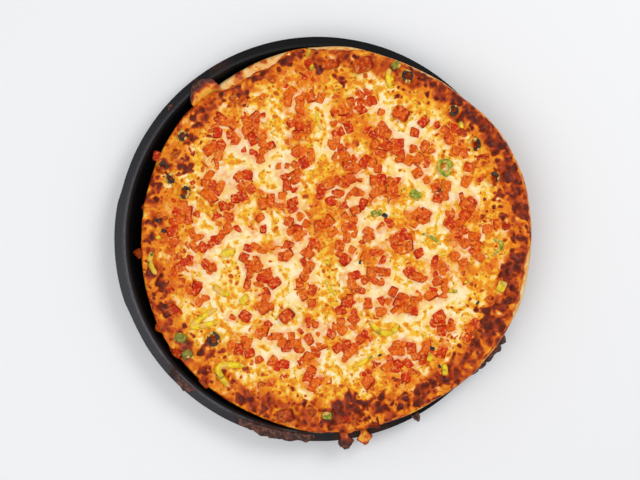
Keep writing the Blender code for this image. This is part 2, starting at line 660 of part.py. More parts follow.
def main():
    """Build the pan, the pizza in it and what lies on both."""
    clear_scene()
    parts = new_collection("deep_dish_pizza")
    bread = new_material("bread", BREAD)
    finishes = {
        "pepper": new_material("banana pepper", PEPPER),
        "green": new_material("green pepper", GREEN),
        "tomato": new_material("tomato", TOMATO),
        "olive": new_material("olive", OLIVE),
    }
    build_pan(new_material("black metal", BLACK_METAL), parts)
    rest = bpy.data.objects.new("pizza_rest", None)
    rest.location = PIZZA_PLACE + Vector((0.0, 0.0, PIZZA_LIFT))
    rest.rotation_euler = (0.0, -PIZZA_TILT, 0.0)
    parts.objects.link(rest)
    seat_list = seats()
    build_crust(bread, parts, rest)
    cheese = build_cheese(new_material("cheese", CHEESE), parts, rest, seat_list)
    build_toppings(finishes, parts, rest, cheese)
    build_crisps(new_material("burnt cheese", BURNT), parts)
    bpy.context.view_layer.update()


main()
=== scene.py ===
"""A deep dish pizza lying askew in its own black pan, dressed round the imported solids.

Lengths are in metres and +Z is up. Places on the pizza are given in millimetres as seen from above,
from the middle of its top, and PizzaRest carries them into the world.
"""

import logging
import math
import random
from dataclasses import dataclass, field
from enum import Enum
from functools import cache
from typing import Iterator, Sequence

import bmesh
import bpy
import numpy as np
from mathutils import Euler, Matrix, Vector, noise


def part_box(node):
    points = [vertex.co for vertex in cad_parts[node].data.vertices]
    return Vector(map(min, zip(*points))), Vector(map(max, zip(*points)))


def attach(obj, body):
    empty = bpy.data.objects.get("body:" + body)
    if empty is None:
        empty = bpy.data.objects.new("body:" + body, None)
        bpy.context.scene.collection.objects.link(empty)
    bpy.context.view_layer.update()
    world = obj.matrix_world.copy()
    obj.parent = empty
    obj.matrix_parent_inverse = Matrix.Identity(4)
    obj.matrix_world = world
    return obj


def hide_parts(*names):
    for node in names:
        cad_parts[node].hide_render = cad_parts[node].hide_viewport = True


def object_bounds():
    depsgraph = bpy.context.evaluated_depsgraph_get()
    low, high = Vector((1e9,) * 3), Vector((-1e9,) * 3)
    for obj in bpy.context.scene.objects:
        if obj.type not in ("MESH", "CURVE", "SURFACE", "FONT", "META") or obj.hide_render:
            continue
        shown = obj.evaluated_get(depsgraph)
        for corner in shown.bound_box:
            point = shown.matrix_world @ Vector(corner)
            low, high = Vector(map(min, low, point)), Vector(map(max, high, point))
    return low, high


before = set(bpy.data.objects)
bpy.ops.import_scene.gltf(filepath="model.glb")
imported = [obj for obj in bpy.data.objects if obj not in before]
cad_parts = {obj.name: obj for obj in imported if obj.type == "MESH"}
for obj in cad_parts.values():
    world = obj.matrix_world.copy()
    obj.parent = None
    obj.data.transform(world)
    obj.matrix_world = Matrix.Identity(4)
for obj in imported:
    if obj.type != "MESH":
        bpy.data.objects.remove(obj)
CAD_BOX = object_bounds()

LOG = logging.getLogger("pizza")
MM = 0.001
LATTICE = 64
HEAP_SEED = 4100
HEAP_SPACING = 9.0 * MM
SEATS_ALONG_STRIP = 7
Place = tuple[float, float]
Seat = tuple[float, float, float]
Link = tuple[bpy.types.NodeSocket, bpy.types.NodeSocket]


def smooth_step(low: float, high: float, value: np.ndarray | float) -> np.ndarray:
    """0 below low, 1 above high, and smooth between."""
    t = np.clip((np.asarray(value, float) - low) / (high - low), 0.0, 1.0)
    return t * t * (3.0 - 2.0 * t)


def linear(code: str) -> tuple[float, float, float, float]:
    """The linear colour of a hexadecimal screen colour."""
    parts = [int(code[i:i + 2], 16) / 255.0 for i in (0, 2, 4)]
    return tuple(c / 12.92 if c < 0.04045 else ((c + 0.055) / 1.055) ** 2.4 for c in parts) + (1.0,)


def arc_share(degrees: np.ndarray | float, middle: float, half: float) -> np.ndarray:
    """1 within a stretch of the circle, given by its middle and half its length, and 0 well outside it."""
    away = np.abs((degrees - middle + 180.0) % 360.0 - 180.0)
    return 1.0 - smooth_step(half * 0.6, half * 1.4, away)


def polar(radius: np.ndarray, angle: np.ndarray, height: np.ndarray) -> np.ndarray:
    """Points from how far out, in which direction and how high they are."""
    return np.stack((radius * np.cos(angle), radius * np.sin(angle), height), -1)


class SmoothNoise:
    """A smooth random field over the plane, between -1 and 1, the same on every run."""

    def __init__(self, seed: int) -> None:
        """Draw the lattice that the field is read from.

        Args:
            seed: which field it is.
        """
        draw = np.random.default_rng(seed)
        self.table = draw.uniform(-1.0, 1.0, (LATTICE, LATTICE))
        self.turn = draw.uniform(0.3, 1.2)

    def __call__(self, x: np.ndarray, y: np.ndarray, size: float) -> np.ndarray:
        """Read the field.

        Args:
            x: places across.
            y: places up.
            size: how wide one lump is, in the same unit.

        Returns:
            The field at each place.
        """
        c, s = math.cos(self.turn), math.sin(self.turn)
        u, v = (c * x - s * y) / size, (s * x + c * y) / size
        i, j = np.floor(u).astype(int), np.floor(v).astype(int)
        fu, fv = u - i, v - j
        fu, fv = fu * fu * (3 - 2 * fu), fv * fv * (3 - 2 * fv)
        i, j, k, m = i % LATTICE, j % LATTICE, (i + 1) % LATTICE, (j + 1) % LATTICE
        t = self.table
        low = t[i, j] * (1 - fu) + t[k, j] * fu
        high = t[i, m] * (1 - fu) + t[k, m] * fu
        return low * (1 - fv) + high * fv


@dataclass
class Blisters:
    """Round domes scattered over the plane, at most one in each cell of a jittered grid."""

    seed: int
    cell: float
    share: float
    smallest: float
    largest: float

    def __call__(self, x: np.ndarray, y: np.ndarray) -> np.ndarray:
        """Read the domes.

        Args:
            x: places across.
            y: places up.

        Returns:
            Height at each place, from 0 outside the domes to 1 at the top of the tallest.
        """
        draw = np.random.default_rng(self.seed).uniform(0.0, 1.0, (4, LATTICE, LATTICE))
        i0, j0 = np.floor(x / self.cell).astype(int), np.floor(y / self.cell).astype(int)
        tallest = np.zeros_like(x, dtype=float)
        for di in (-1, 0, 1):
            for dj in (-1, 0, 1):
                i, j = i0 + di, j0 + dj
                here = draw[:, i % LATTICE, j % LATTICE]
                away = np.hypot(x - (i + here[0]) * self.cell, y - (j + here[1]) * self.cell)
                radius = self.smallest + (self.largest - self.smallest) * here[2] ** 2
                dome = np.clip(1.0 - (away / radius) ** 2, 0.0, 1.0) * (0.5 + 0.5 * here[2])
                tallest = np.maximum(tallest, np.where(here[3] < self.share, dome, 0.0))
        return tallest


# Shader helpers


class Shader:
    """A material being built: its Principled shader and short calls for the nodes before it."""

    def __init__(self, name: str) -> None:
        """Start a material with a Principled shader.

        Args:
            name: the material's name.
        """
        self.material = bpy.data.materials.new(name)
        self.material.use_nodes = True
        self.nodes = self.material.node_tree.nodes
        self.principled = self.nodes["Principled BSDF"]
        self.place = self.nodes.new("ShaderNodeTexCoord").outputs["Object"]

    def join(self, source: bpy.types.NodeSocket, target: bpy.types.NodeSocket) -> None:
        """Link two sockets."""
        self.material.node_tree.links.new(source, target)

    def feed(self, socket: bpy.types.NodeSocket, value: object) -> None:
        """Give a socket a link or a plain value.

        Args:
            socket: the input to fill.
            value: another node's output, or a plain value.
        """
        if isinstance(value, bpy.types.NodeSocket):
            self.join(value, socket)
        else:
            socket.default_value = value

    def put(self, label: str, value: object) -> None:
        """Give one of the Principled shader's sockets a link or a plain value."""
        self.feed(self.principled.inputs[label], value)

    def attribute(self, label: str) -> bpy.types.NodeSocket:
        """A value stored at each vertex.

        Args:
            label: the name that it is stored under.

        Returns:
            The value.
        """
        node = self.nodes.new("ShaderNodeAttribute")
        node.attribute_name = label
        return node.outputs["Fac"]

    def noise(self, size: float, detail: float = 3.0, rough: float = 0.55) -> bpy.types.NodeSocket:
        """Noise in the object's own space.

        Args:
            size: how wide a lump is, in metres.
            detail: how many finer layers it has.
            rough: how strong the finer layers are.

        Returns:
            The noise, from 0 to 1.
        """
        node = self.nodes.new("ShaderNodeTexNoise")
        self.join(self.place, node.inputs["Vector"])
        node.inputs["Scale"].default_value = 1.0 / size
        node.inputs["Detail"].default_value = detail
        node.inputs["Roughness"].default_value = rough
        return node.outputs["Fac"]

    def maths(self, operation: str, a: object, b: object = 0.0) -> bpy.types.NodeSocket:
        """One sum on two values, kept between 0 and 1.

        Args:
            operation: the sum's name.
            a: the first value.
            b: the second value.

        Returns:
            The result.
        """
        node = self.nodes.new("ShaderNodeMath")
        node.operation = operation
        node.use_clamp = True
        self.feed(node.inputs[0], a)
        self.feed(node.inputs[1], b)
        return node.outputs[0]

    def stretch(self, value: object, low: float, high: float, to_low: float = 0.0,
                to_high: float = 1.0) -> bpy.types.NodeSocket:
        """Map one span on to another, smoothly.

        Args:
            value: what is mapped.
            low: where the span starts.
            high: where the span ends.
            to_low: what its start becomes.
            to_high: what its end becomes.

        Returns:
            The mapped value.
        """
        node = self.nodes.new("ShaderNodeMapRange")
        node.interpolation_type = "SMOOTHSTEP"
        self.feed(node.inputs["Value"], value)
        for label, number in zip(("From Min", "From Max", "To Min", "To Max"), (low, high, to_low, to_high)):
            node.inputs[label].default_value = number
        return node.outputs["Result"]

    def mix(self, amount: object, a: object, b: object) -> bpy.types.NodeSocket:
        """Mix two colours.

        Args:
            amount: how much of the second there is.
            a: the first colour.
            b: the second colour.

        Returns:
            The mixed colour.
        """
        factor, first, second, result = Groups.mixer(self.material.node_tree)
        for socket, value in ((factor, amount), (first, a), (second, b)):
            self.feed(socket, value)
        return result

    def group(self, tree: bpy.types.NodeTree, **values: object) -> bpy.types.Node:
        """Place a node group and fill its named inputs, written with _ for a space.

        Args:
            tree: the group.
            values: what goes into each input.

        Returns:
            The placed group.
        """
        node = self.nodes.new("ShaderNodeGroup")
        node.node_tree = tree
        for label, value in values.items():
            self.feed(node.inputs[label.replace("_", " ")], value)
        return node

    def bump(self, height: object, depth: float, strength: float = 1.0) -> None:
        """Send a height to the Normal through a Bump node.

        Args:
            height: the height, from 0 to 1.
            depth: how deep that is, in metres.
            strength: how much of it shows.
        """
        node = self.nodes.new("ShaderNodeBump")
        node.inputs["Strength"].default_value = strength
        node.inputs["Distance"].default_value = depth
        self.feed(node.inputs["Height"], height)
        self.put("Normal", node.outputs["Normal"])

    def mottled(self, light: str, dark: str, size: float, balance: float,
                softness: float) -> bpy.types.NodeSocket:
        """Two tones of one stuff in patches.

        Args:
            light: the light tone.
            dark: the dark tone.
            size: how wide a patch is, in metres.
            balance: where the tones meet, from 0 to 1.
            softness: how softly they meet.

        Returns:
            The colour.
        """
        node = self.group(Groups.mottle(), Vector=self.place, Light=linear(light), Dark=linear(dark),
                          Scale=1.0 / size, Balance=balance, Softness=softness)
        return node.outputs["Color"]

    def moist(self, wet: float, dry: float, patch: float, grain: float, specular: float, depth: float,
              strength: float = 0.5) -> None:
        """Make the surface wet in patches and finely rough.

        Args:
            wet: roughness where it is wet.
            dry: roughness where it is dry.
            patch: how wide the patches are.
            grain: how wide the fine lumps are.
            specular: how strongly it reflects.
            depth: how deep the fine lumps are.
            strength: how much of that depth shows.
        """
        node = self.group(Groups.moisture(), Vector=self.place, Wet=wet, Dry=dry, Patch_Scale=1 / patch,
                          Grain_Scale=1 / grain)
        self.put("Roughness", node.outputs["Roughness"])
        self.put("Specular IOR Level", specular)
        self.bump(node.outputs["Height"], depth, strength)


class Groups:
    """The effects that several finishes share, each built once as a node group."""

    @staticmethod
    def start(name: str, inputs: Sequence[tuple[str, str, object]],
              outputs: Sequence[tuple[str, str]],
              ) -> tuple[bpy.types.NodeTree, bpy.types.Node, bpy.types.Node]:
        """An empty group with named sockets.

        Args:
            name: the group's name.
            inputs: label, kind and default of each input.
            outputs: label and kind of each output.

        Returns:
            The group with its input and output nodes.
        """
        tree = bpy.data.node_groups.new(name, "ShaderNodeTree")
        for label, kind, default in inputs:
            socket = tree.interface.new_socket(label, in_out="INPUT", socket_type="NodeSocket" + kind)
            if default is not None:
                socket.default_value = default
        for label, kind in outputs:
            tree.interface.new_socket(label, in_out="OUTPUT", socket_type="NodeSocket" + kind)
        return tree, tree.nodes.new("NodeGroupInput"), tree.nodes.new("NodeGroupOutput")

    @staticmethod
    def wire(tree: bpy.types.NodeTree, *pairs: Link) -> bpy.types.NodeTree:
        """Link pairs of sockets.

        Args:
            tree: the group.
            pairs: an output and an input each.

        Returns:
            The group.
        """
        for source, target in pairs:
            tree.links.new(source, target)
        return tree

    @staticmethod
    def mixer(tree: bpy.types.NodeTree) -> tuple[bpy.types.NodeSocket, ...]:
        """Add a colour mix.

        Args:
            tree: where the mix goes.

        Returns:
            Its factor, its two colours and its result.
        """
        mix = tree.nodes.new("ShaderNodeMix")
        mix.data_type = "RGBA"
        return mix.inputs["Factor"], mix.inputs[6], mix.inputs[7], mix.outputs[2]

    @staticmethod
    def easing(tree: bpy.types.NodeTree, low: float = 0.0, high: float = 1.0) -> bpy.types.Node:
        """Add a node that goes smoothly from 0 to 1.

        Args:
            tree: the group.
            low: where it starts to rise.
            high: where it is 1.

        Returns:
            The node.
        """
        ease = tree.nodes.new("ShaderNodeMapRange")
        ease.interpolation_type = "SMOOTHSTEP"
        ease.inputs["From Min"].default_value = low
        ease.inputs["From Max"].default_value = high
        return ease

    @staticmethod
    @cache
    def browning() -> bpy.types.NodeTree:
        """Turn a colour golden, brown, maroon and nearly black as it is baked.

        Returns:
            The group.
        """
        tree, given, out = Groups.start(
            "Browning", (("Color", "Color", (1, 1, 1, 1)), ("Amount", "Float", 0.0)), (("Color", "Color"),))
        ramp = tree.nodes.new("ShaderNodeValToRGB")
        stops = ((0.0, "f4b034"), (0.2, "e68414"), (0.4, "c8520a"), (0.58, "9a3004"), (0.76, "681e03"),
                 (1.0, "441003"))
        elements = ramp.color_ramp.elements
        elements[0].position, elements[1].position = stops[0][0], stops[-1][0]
        for place, _ in stops[1:-1]:
            elements.new(place)
        for element, (_, code) in zip(elements, stops):
            element.color = linear(code)
        cover = Groups.easing(tree, 0.03, 0.26)
        factor, first, second, result = Groups.mixer(tree)
        return Groups.wire(tree, (given.outputs["Amount"], ramp.inputs["Fac"]),
                           (given.outputs["Amount"], cover.inputs["Value"]),
                           (cover.outputs["Result"], factor), (given.outputs["Color"], first),
                           (ramp.outputs["Color"], second), (result, out.inputs["Color"]))

    @staticmethod
    @cache
    def roasting() -> bpy.types.NodeTree:
        """Darken a moist colour towards a charred red-brown.

        Returns:
            The group.
        """
        tree, given, out = Groups.start(
            "Roasting",
            (("Color", "Color", (1, 1, 1, 1)), ("Amount", "Float", 0.0), ("Char", "Color", (0, 0, 0, 1))),
            (("Color", "Color"),))
        cover = Groups.easing(tree)
        factor, first, second, result = Groups.mixer(tree)
        return Groups.wire(tree, (given.outputs["Amount"], cover.inputs["Value"]),
                           (cover.outputs["Result"], factor), (given.outputs["Color"], first),
                           (given.outputs["Char"], second), (result, out.inputs["Color"]))

    @staticmethod
    @cache
    def mottle() -> bpy.types.NodeTree:
        """Two tones of one stuff in soft uneven patches.

        Returns:
            The group.
        """
        tree, given, out = Groups.start(
            "Mottle",
            (("Vector", "Vector", None), ("Light", "Color", (1, 1, 1, 1)), ("Dark", "Color", (0, 0, 0, 1)),
             ("Scale", "Float", 100.0), ("Balance", "Float", 0.5), ("Softness", "Float", 0.15)),
            (("Color", "Color"),))
        patches = tree.nodes.new("ShaderNodeTexNoise")
        patches.inputs["Detail"].default_value = 4.0
        low, high = tree.nodes.new("ShaderNodeMath"), tree.nodes.new("ShaderNodeMath")
        low.operation, high.operation = "SUBTRACT", "ADD"
        span = Groups.easing(tree)
        factor, first, second, result = Groups.mixer(tree)
        return Groups.wire(tree, (given.outputs["Vector"], patches.inputs["Vector"]),
                           (given.outputs["Scale"], patches.inputs["Scale"]),
                           (given.outputs["Balance"], low.inputs[0]),
                           (given.outputs["Balance"], high.inputs[0]),
                           (given.outputs["Softness"], low.inputs[1]),
                           (given.outputs["Softness"], high.inputs[1]),
                           (patches.outputs["Fac"], span.inputs["Value"]),
                           (low.outputs[0], span.inputs["From Min"]),
                           (high.outputs[0], span.inputs["From Max"]), (span.outputs["Result"], factor),
                           (given.outputs["Light"], first), (given.outputs["Dark"], second),
                           (result, out.inputs["Color"]))

    @staticmethod
    @cache
    def moisture() -> bpy.types.NodeTree:
        """Patchy wetness: a roughness between wet and dry, and a fine height for a bump.

        Returns:
            The group.
        """
        tree, given, out = Groups.start(
            "Moisture",
            (("Vector", "Vector", None), ("Wet", "Float", 0.2), ("Dry", "Float", 0.5),
             ("Patch Scale", "Float", 200.0), ("Grain Scale", "Float", 1200.0)),
            (("Roughness", "Float"), ("Height", "Float")))
        patches, grain = tree.nodes.new("ShaderNodeTexNoise"), tree.nodes.new("ShaderNodeTexNoise")
        grain.inputs["Detail"].default_value = 3.0
        span = tree.nodes.new("ShaderNodeMapRange")
        span.inputs["From Min"].default_value = 0.35
        span.inputs["From Max"].default_value = 0.65
        return Groups.wire(tree, (given.outputs["Vector"], patches.inputs["Vector"]),
                           (given.outputs["Vector"], grain.inputs["Vector"]),
                           (given.outputs["Patch Scale"], patches.inputs["Scale"]),
                           (given.outputs["Grain Scale"], grain.inputs["Scale"]),
                           (patches.outputs["Fac"], span.inputs["Value"]),
                           (given.outputs["Wet"], span.inputs["To Min"]),
                           (given.outputs["Dry"], span.inputs["To Max"]),
                           (span.outputs["Result"], out.inputs["Roughness"]),
                           (grain.outputs["Fac"], out.inputs["Height"]))


# Finishes


@dataclass(frozen=True)
class PanFinish:
    """Black anodised metal, worn grey on the rim with a painted highlight along its inner lip and painted
    light on its lower-left side, with a brown film where cheese ran over it.
    """

    black: str = "060607"
    scuffed: str = "66666c"
    film: str = "33201a"

    def build(self) -> bpy.types.Material:
        """Mix the wear, with its painted highlight and painted light, and the film over the black.

        Returns:
            The material.
        """
        s = Shader("pan black anodised")
        fine = s.noise(0.9 * MM, 4.0, 0.7)
        patchy = s.noise(14 * MM, 3.0)
        # The grey on the rim is a little wear and mostly painted highlight and painted light, broken up by
        # fine noise.
        wear_and_highlight_mix = s.maths("MULTIPLY", s.attribute("scuff"), s.stretch(fine, 0.34, 0.66, 0.45, 1.0))
        metal = s.mix(wear_and_highlight_mix, linear(self.black), linear(self.scuffed))
        film = s.maths("MULTIPLY", s.attribute("film"), s.stretch(patchy, 0.40, 0.58))
        s.put("Base Color", s.mix(film, metal, linear(self.film)))
        s.put("Roughness", s.stretch(fine, 0.3, 0.7, 0.38, 0.62))
        s.put("Specular IOR Level", 0.12)
        s.bump(fine, 0.06 * MM, 0.5)
        return s.material


@dataclass(frozen=True)
class BreadFinish:
    """Baked bread: pale gold, browner where it was close to the metal or blistered."""

    pale: str = "f6cf8e"
    gold: str = "e9a850"

    def build(self) -> bpy.types.Material:
        """Brown the bread where the mesh says that it is baked.

        Returns:
            The material.
        """
        s = Shader("crust baked bread")
        tones = s.mottled(self.pale, self.gold, 7 * MM, 0.5, 0.16)
        speck = s.stretch(s.noise(1.6 * MM, 3.0), 0.56, 0.72, 0.0, 0.22)
        speck = s.maths("MULTIPLY", speck, s.stretch(s.attribute("baked"), 0.0, 0.25))
        brown = s.group(Groups.browning(), Color=tones, Amount=s.maths("ADD", s.attribute("baked"), speck))
        s.put("Base Color", brown.outputs["Color"])
        s.put("Roughness", s.stretch(s.attribute("baked"), 0.1, 0.8, 0.78, 0.42))
        s.bump(s.noise(1.1 * MM, 4.0, 0.65), 0.35 * MM, 0.6)
        return s.material


@dataclass(frozen=True)
class CheeseFinish:
    """Melted cheese: cream, golden where it bubbled, stained orange by tomato, burnt at the rim, with painted
    shade in the creases round the dice.
    """

    cream: str = "fdecbe"
    butter: str = "fad986"
    yolk: str = "f4be30"
    golden: str = "ea8e1a"
    amber: str = "e47c14"
    freckle: str = "96661a"
    oil: str = "e65f14"

    def build(self) -> bpy.types.Material:
        """Colour the cheese by how golden, oily and burnt the mesh says it is, and by the shade painted round
        the dice.

        Returns:
            The material.
        """
        s = Shader("cheese melted")
        tones = s.mottled(self.cream, self.butter, 7 * MM, 0.5, 0.12)
        small = s.noise(4.8 * MM, 2.0, 0.5)
        golden = s.attribute("golden")
        depth = s.maths("ADD", golden, s.stretch(small, 0.33, 0.67, -0.30, 0.24))
        deep = s.mix(s.stretch(depth, 0.62, 0.95), linear(self.golden), linear(self.amber))
        gold = s.mix(s.stretch(depth, 0.43, 0.72), linear(self.yolk), deep)
        warm = s.mix(s.stretch(depth, 0.12, 0.42), tones, gold)
        stain = s.maths("MULTIPLY", s.attribute("oil"), s.stretch(s.noise(3.5 * MM), 0.35, 0.65, 0.55, 1.0))
        stained = s.mix(stain, warm, linear(self.oil))
        freckles = s.maths("MULTIPLY", s.stretch(s.noise(2.7 * MM, 1.0, 0.4), 0.61, 0.70, 0.0, 0.75),
                           s.stretch(depth, 0.22, 0.45))
        speckled = s.mix(freckles, stained, linear(self.freckle))
        # The browning amount also carries painted shade in the creases round the dice.
        brown = s.group(Groups.browning(), Color=speckled, Amount=s.attribute("burn_and_crease_shade"))
        s.put("Base Color", brown.outputs["Color"])
        s.moist(0.24, 0.5, 5 * MM, 0.9 * MM, 0.12, 0.25 * MM)
        s.put("Subsurface Weight", 0.05)
        s.put("Subsurface Radius", (1.0, 0.6, 0.3))
        s.put("Subsurface Scale", 1.0 * MM)
        s.put("Coat Weight", s.stretch(s.attribute("burn_and_crease_shade"), 0.2, 0.6, 0.0, 0.08))
        s.put("Coat Roughness", 0.28)
        return s.material


@dataclass(frozen=True)
class TomatoFinish:
    """Cooked tomato: orange flesh with paler streaks, red skin, darker where the oven caught it."""

    orange: str = "e66a06"
    red: str = "cc2800"
    skin: str = "a01000"
    pale: str = "f0964c"
    deep: str = "9a1600"
    char: str = "6a1a02"

    def build(self) -> bpy.types.Material:
        """Colour the dice by the tone, skin and roast that the mesh holds.

        Returns:
            The material.
        """
        s = Shader("tomato cooked")
        flesh = s.mix(s.attribute("tone"), linear(self.orange), linear(self.red))
        flesh = s.mix(s.stretch(s.noise(3.1 * MM, 3.0), 0.50, 0.68, 0.0, 0.8), flesh, linear(self.deep))
        flesh = s.mix(s.stretch(s.noise(2.4 * MM, 3.0), 0.50, 0.66, 0.0, 0.8), flesh, linear(self.pale))
        body = s.mix(s.attribute("skin"), flesh, linear(self.skin))
        brown = s.group(Groups.roasting(), Color=body, Amount=s.attribute("roast"), Char=linear(self.char))
        s.put("Base Color", brown.outputs["Color"])
        s.moist(0.16, 0.42, 3 * MM, 0.8 * MM, 0.1, 0.3 * MM)
        return s.material


@dataclass(frozen=True)
class VegetableFinish:
    """A moist vegetable in two tones, with a roasted edge."""

    name: str
    light: str
    dark: str
    patch: float
    wet: float = 0.18
    dry: float = 0.4
    char: str = "5c3315"
    smear: str = "e9b458"

    def build(self) -> bpy.types.Material:
        """Colour the piece by the roast and the smear of cheese that the mesh holds.

        Returns:
            The material.
        """
        s = Shader(self.name)
        tones = s.mottled(self.light, self.dark, self.patch, 0.5, 0.1)
        brown = s.group(Groups.roasting(), Color=tones, Amount=s.attribute("roast"), Char=linear(self.char))
        edge = s.stretch(s.noise(1.8 * MM, 3.0), 0.3, 0.7, -0.35, 0.35)
        cover = s.stretch(s.maths("ADD", s.attribute("smear"), edge), 0.40, 0.62, 0.0, 0.9)
        s.put("Base Color", s.mix(cover, brown.outputs["Color"], linear(self.smear)))
        s.moist(self.wet, self.dry, 3 * MM, 0.7 * MM, 0.25, 0.2 * MM)
        return s.material


@dataclass(frozen=True)
class BurntFinish:
    """Cheese burnt to a crisp: dark brown, redder where thin, with a dull shine."""

    thin: str = "6f3a28"
    thick: str = "2b1916"
    fresh: str = "eaa030"

    def build(self) -> bpy.types.Material:
        """Colour the crisp by how fresh the mesh says that its cheese still is.

        Returns:
            The material.
        """
        s = Shader("burnt cheese")
        tones = s.mottled(self.thin, self.thick, 3 * MM, 0.47, 0.12)
        fresh = s.attribute("fresh")
        golden = s.group(Groups.browning(), Color=linear(self.fresh), Amount=s.maths("SUBTRACT", 1.0, fresh))
        s.put("Base Color", s.mix(s.stretch(fresh, 0.05, 0.3), tones, golden.outputs["Color"]))
        s.moist(0.3, 0.6, 4 * MM, 0.8 * MM, 0.35, 0.35 * MM, 0.8)
        return s.material


# Shared shapes


@dataclass(frozen=True)
class PizzaRest:
    """How the pizza lies: its middle moved to the right and its left edge down in the pan."""

    across: float = 15.0 * MM
    lift: float = 15.7 * MM
    tilt: float = math.radians(4.95)
    shift: Place = (3.4, -1.4)
    scale: float = 1.001
    scale_per_mm: float = -0.00007
    headroom: float = 0.2 * MM

    def matrix(self) -> Matrix:
        """From the pizza's own frame to the world."""
        return Matrix.Translation((self.across, 0.0, self.lift)) @ Matrix.Rotation(-self.tilt, 4, "Y")

    def place(self, x: float, y: float) -> Vector:
        """A place read off the top in mm, in the pizza's frame; the raised side looks larger from above."""
        scale = self.scale + self.scale_per_mm * x
        return Vector(((x * scale + self.shift[0]) * MM, (y * scale + self.shift[1]) * MM))

    def ceiling(self, x: np.ndarray) -> np.ndarray:
        """Height in the pizza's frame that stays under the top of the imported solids."""
        return (CAD_BOX[1][2] - self.headroom - self.lift - x * math.sin(self.tilt)) / math.cos(self.tilt)

    def node_height(self, node: str) -> float:
        """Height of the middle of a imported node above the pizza's underside."""
        low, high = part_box(node)
        return (self.matrix().inverted() @ ((low + high) / 2)).z


REST = PizzaRest()


@dataclass
class Outline:
    """The pizza's uneven round edge, the lip of its bread and where the cheese stops."""

    radius: float = 178.2 * MM
    crust_top: float = 16.5 * MM
    lip_top: float = 21.0 * MM
    edge_drop: float = 3.5 * MM
    shelf_ratio: float = 0.885
    lip_ratio: float = 0.95
    lip_outer_ratio: float = 0.985
    cheese_ratio: float = 0.978
    # Stretches of bare bread: middle and half length in degrees, and how far the cheese keeps back
    bare: tuple = ((117, 11, 0.05), (346, 11, 0.05), (315, 12, 0.04), (90, 7, 0.018))
    angles: np.ndarray = field(init=False)

    def __post_init__(self) -> None:
        """Work out the edge, the lip's lumps and the cheese's reach once, at every half degree."""
        self.angles = np.radians(np.arange(-180.0, 180.5, 0.5))
        self._edge = np.array([self._edge_at(a) for a in self.angles])
        self._lump = np.array([self._lump_at(a) for a in self.angles])
        self._cheese = np.array([self._cheese_at(a) for a in self.angles])

    def _edge_at(self, angle: float) -> float:
        """Radius of the bread.

        Args:
            angle: the direction, in radians.

        Returns:
            The radius.
        """
        wave = 2.6 * math.cos(2 * angle) + 0.4 * math.sin(2 * angle) + 1.4 * math.cos(3 * angle)
        wave += 0.5 * math.cos(4 * angle) + 0.5 * math.sin(4 * angle) - 1.0 * math.cos(6 * angle)
        ragged = noise.noise(Vector((math.cos(angle) * 5.0, math.sin(angle) * 5.0, 3.7)))
        return self.radius + (wave + 1.6 * ragged) * MM

    def _lump_at(self, angle: float) -> float:
        """How much higher or lower the lip is at an angle."""
        return 0.9 * MM * noise.noise(Vector((math.cos(angle) * 4.0, math.sin(angle) * 4.0, 9.1)))

    def _cheese_at(self, angle: float) -> float:
        """Share of the bread's radius that the cheese reaches.

        Args:
            angle: the direction, in radians.

        Returns:
            The share.
        """
        degrees = math.degrees(angle) % 360.0
        back = max(depth * float(arc_share(degrees, middle, half)) for middle, half, depth in self.bare)
        ragged = noise.noise(Vector((math.cos(angle) * 11.0, math.sin(angle) * 11.0, 1.3)))
        return self.cheese_ratio - back + 0.006 * ragged

    def edge(self, angle: np.ndarray) -> np.ndarray:
        """Radius of the bread."""
        return np.interp(angle, self.angles, self._edge)

    def cheese(self, angle: np.ndarray) -> np.ndarray:
        """Share of the radius that the cheese reaches."""
        return np.interp(angle, self.angles, self._cheese)

    def bread_top(self, ratio: np.ndarray, angle: np.ndarray) -> np.ndarray:
        """Height of the bread's upper side.

        Args:
            ratio: share of the bread's radius.
            angle: the direction, in radians.

        Returns:
            The height over the pizza's underside.
        """
        lump = np.interp(angle, self.angles, self._lump)
        flat = np.interp(ratio, (0.0, self.shelf_ratio, self.lip_ratio, self.lip_outer_ratio, 1.0),
                         (self.crust_top, self.crust_top, self.lip_top, self.lip_top - 0.5 * MM,
                          self.lip_top - self.edge_drop))
        return flat + lump * np.interp(ratio, (self.shelf_ratio, self.lip_ratio), (0.0, 1.0))


EDGE = Outline()


def new_piece(name: str, vertices: np.ndarray, faces: list, material: bpy.types.Material, slot: str,
              nodes: Sequence[str] = (), in_pizza: bool = True, **fields: np.ndarray) -> bpy.types.Object:
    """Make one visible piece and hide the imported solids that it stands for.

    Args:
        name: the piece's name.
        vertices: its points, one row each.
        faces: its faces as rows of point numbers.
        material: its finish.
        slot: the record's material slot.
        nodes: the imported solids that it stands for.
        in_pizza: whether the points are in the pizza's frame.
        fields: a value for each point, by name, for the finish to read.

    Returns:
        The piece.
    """
    if in_pizza:
        rest = np.array(REST.matrix())
        vertices = vertices @ rest[:3, :3].T + rest[:3, 3]
    mesh = bpy.data.meshes.new(name)
    mesh.from_pydata(np.clip(vertices, *CAD_BOX).tolist(), [], faces)
    for label, values in fields.items():
        store = mesh.attributes.new(label, "FLOAT", "POINT")
        store.data.foreach_set("value", np.clip(values, 0.0, 1.0).astype(np.float32))
    if signed_volume(mesh) < 0.0:
        mesh.flip_normals()
    mesh.shade_smooth()
    mesh.materials.append(material)
    piece = bpy.data.objects.new(name, mesh)
    bpy.context.scene.collection.objects.link(piece)
    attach(piece, "root")
    if nodes:
        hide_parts(*nodes)
    LOG.info("%s: %d faces", name, len(mesh.polygons))
    return piece


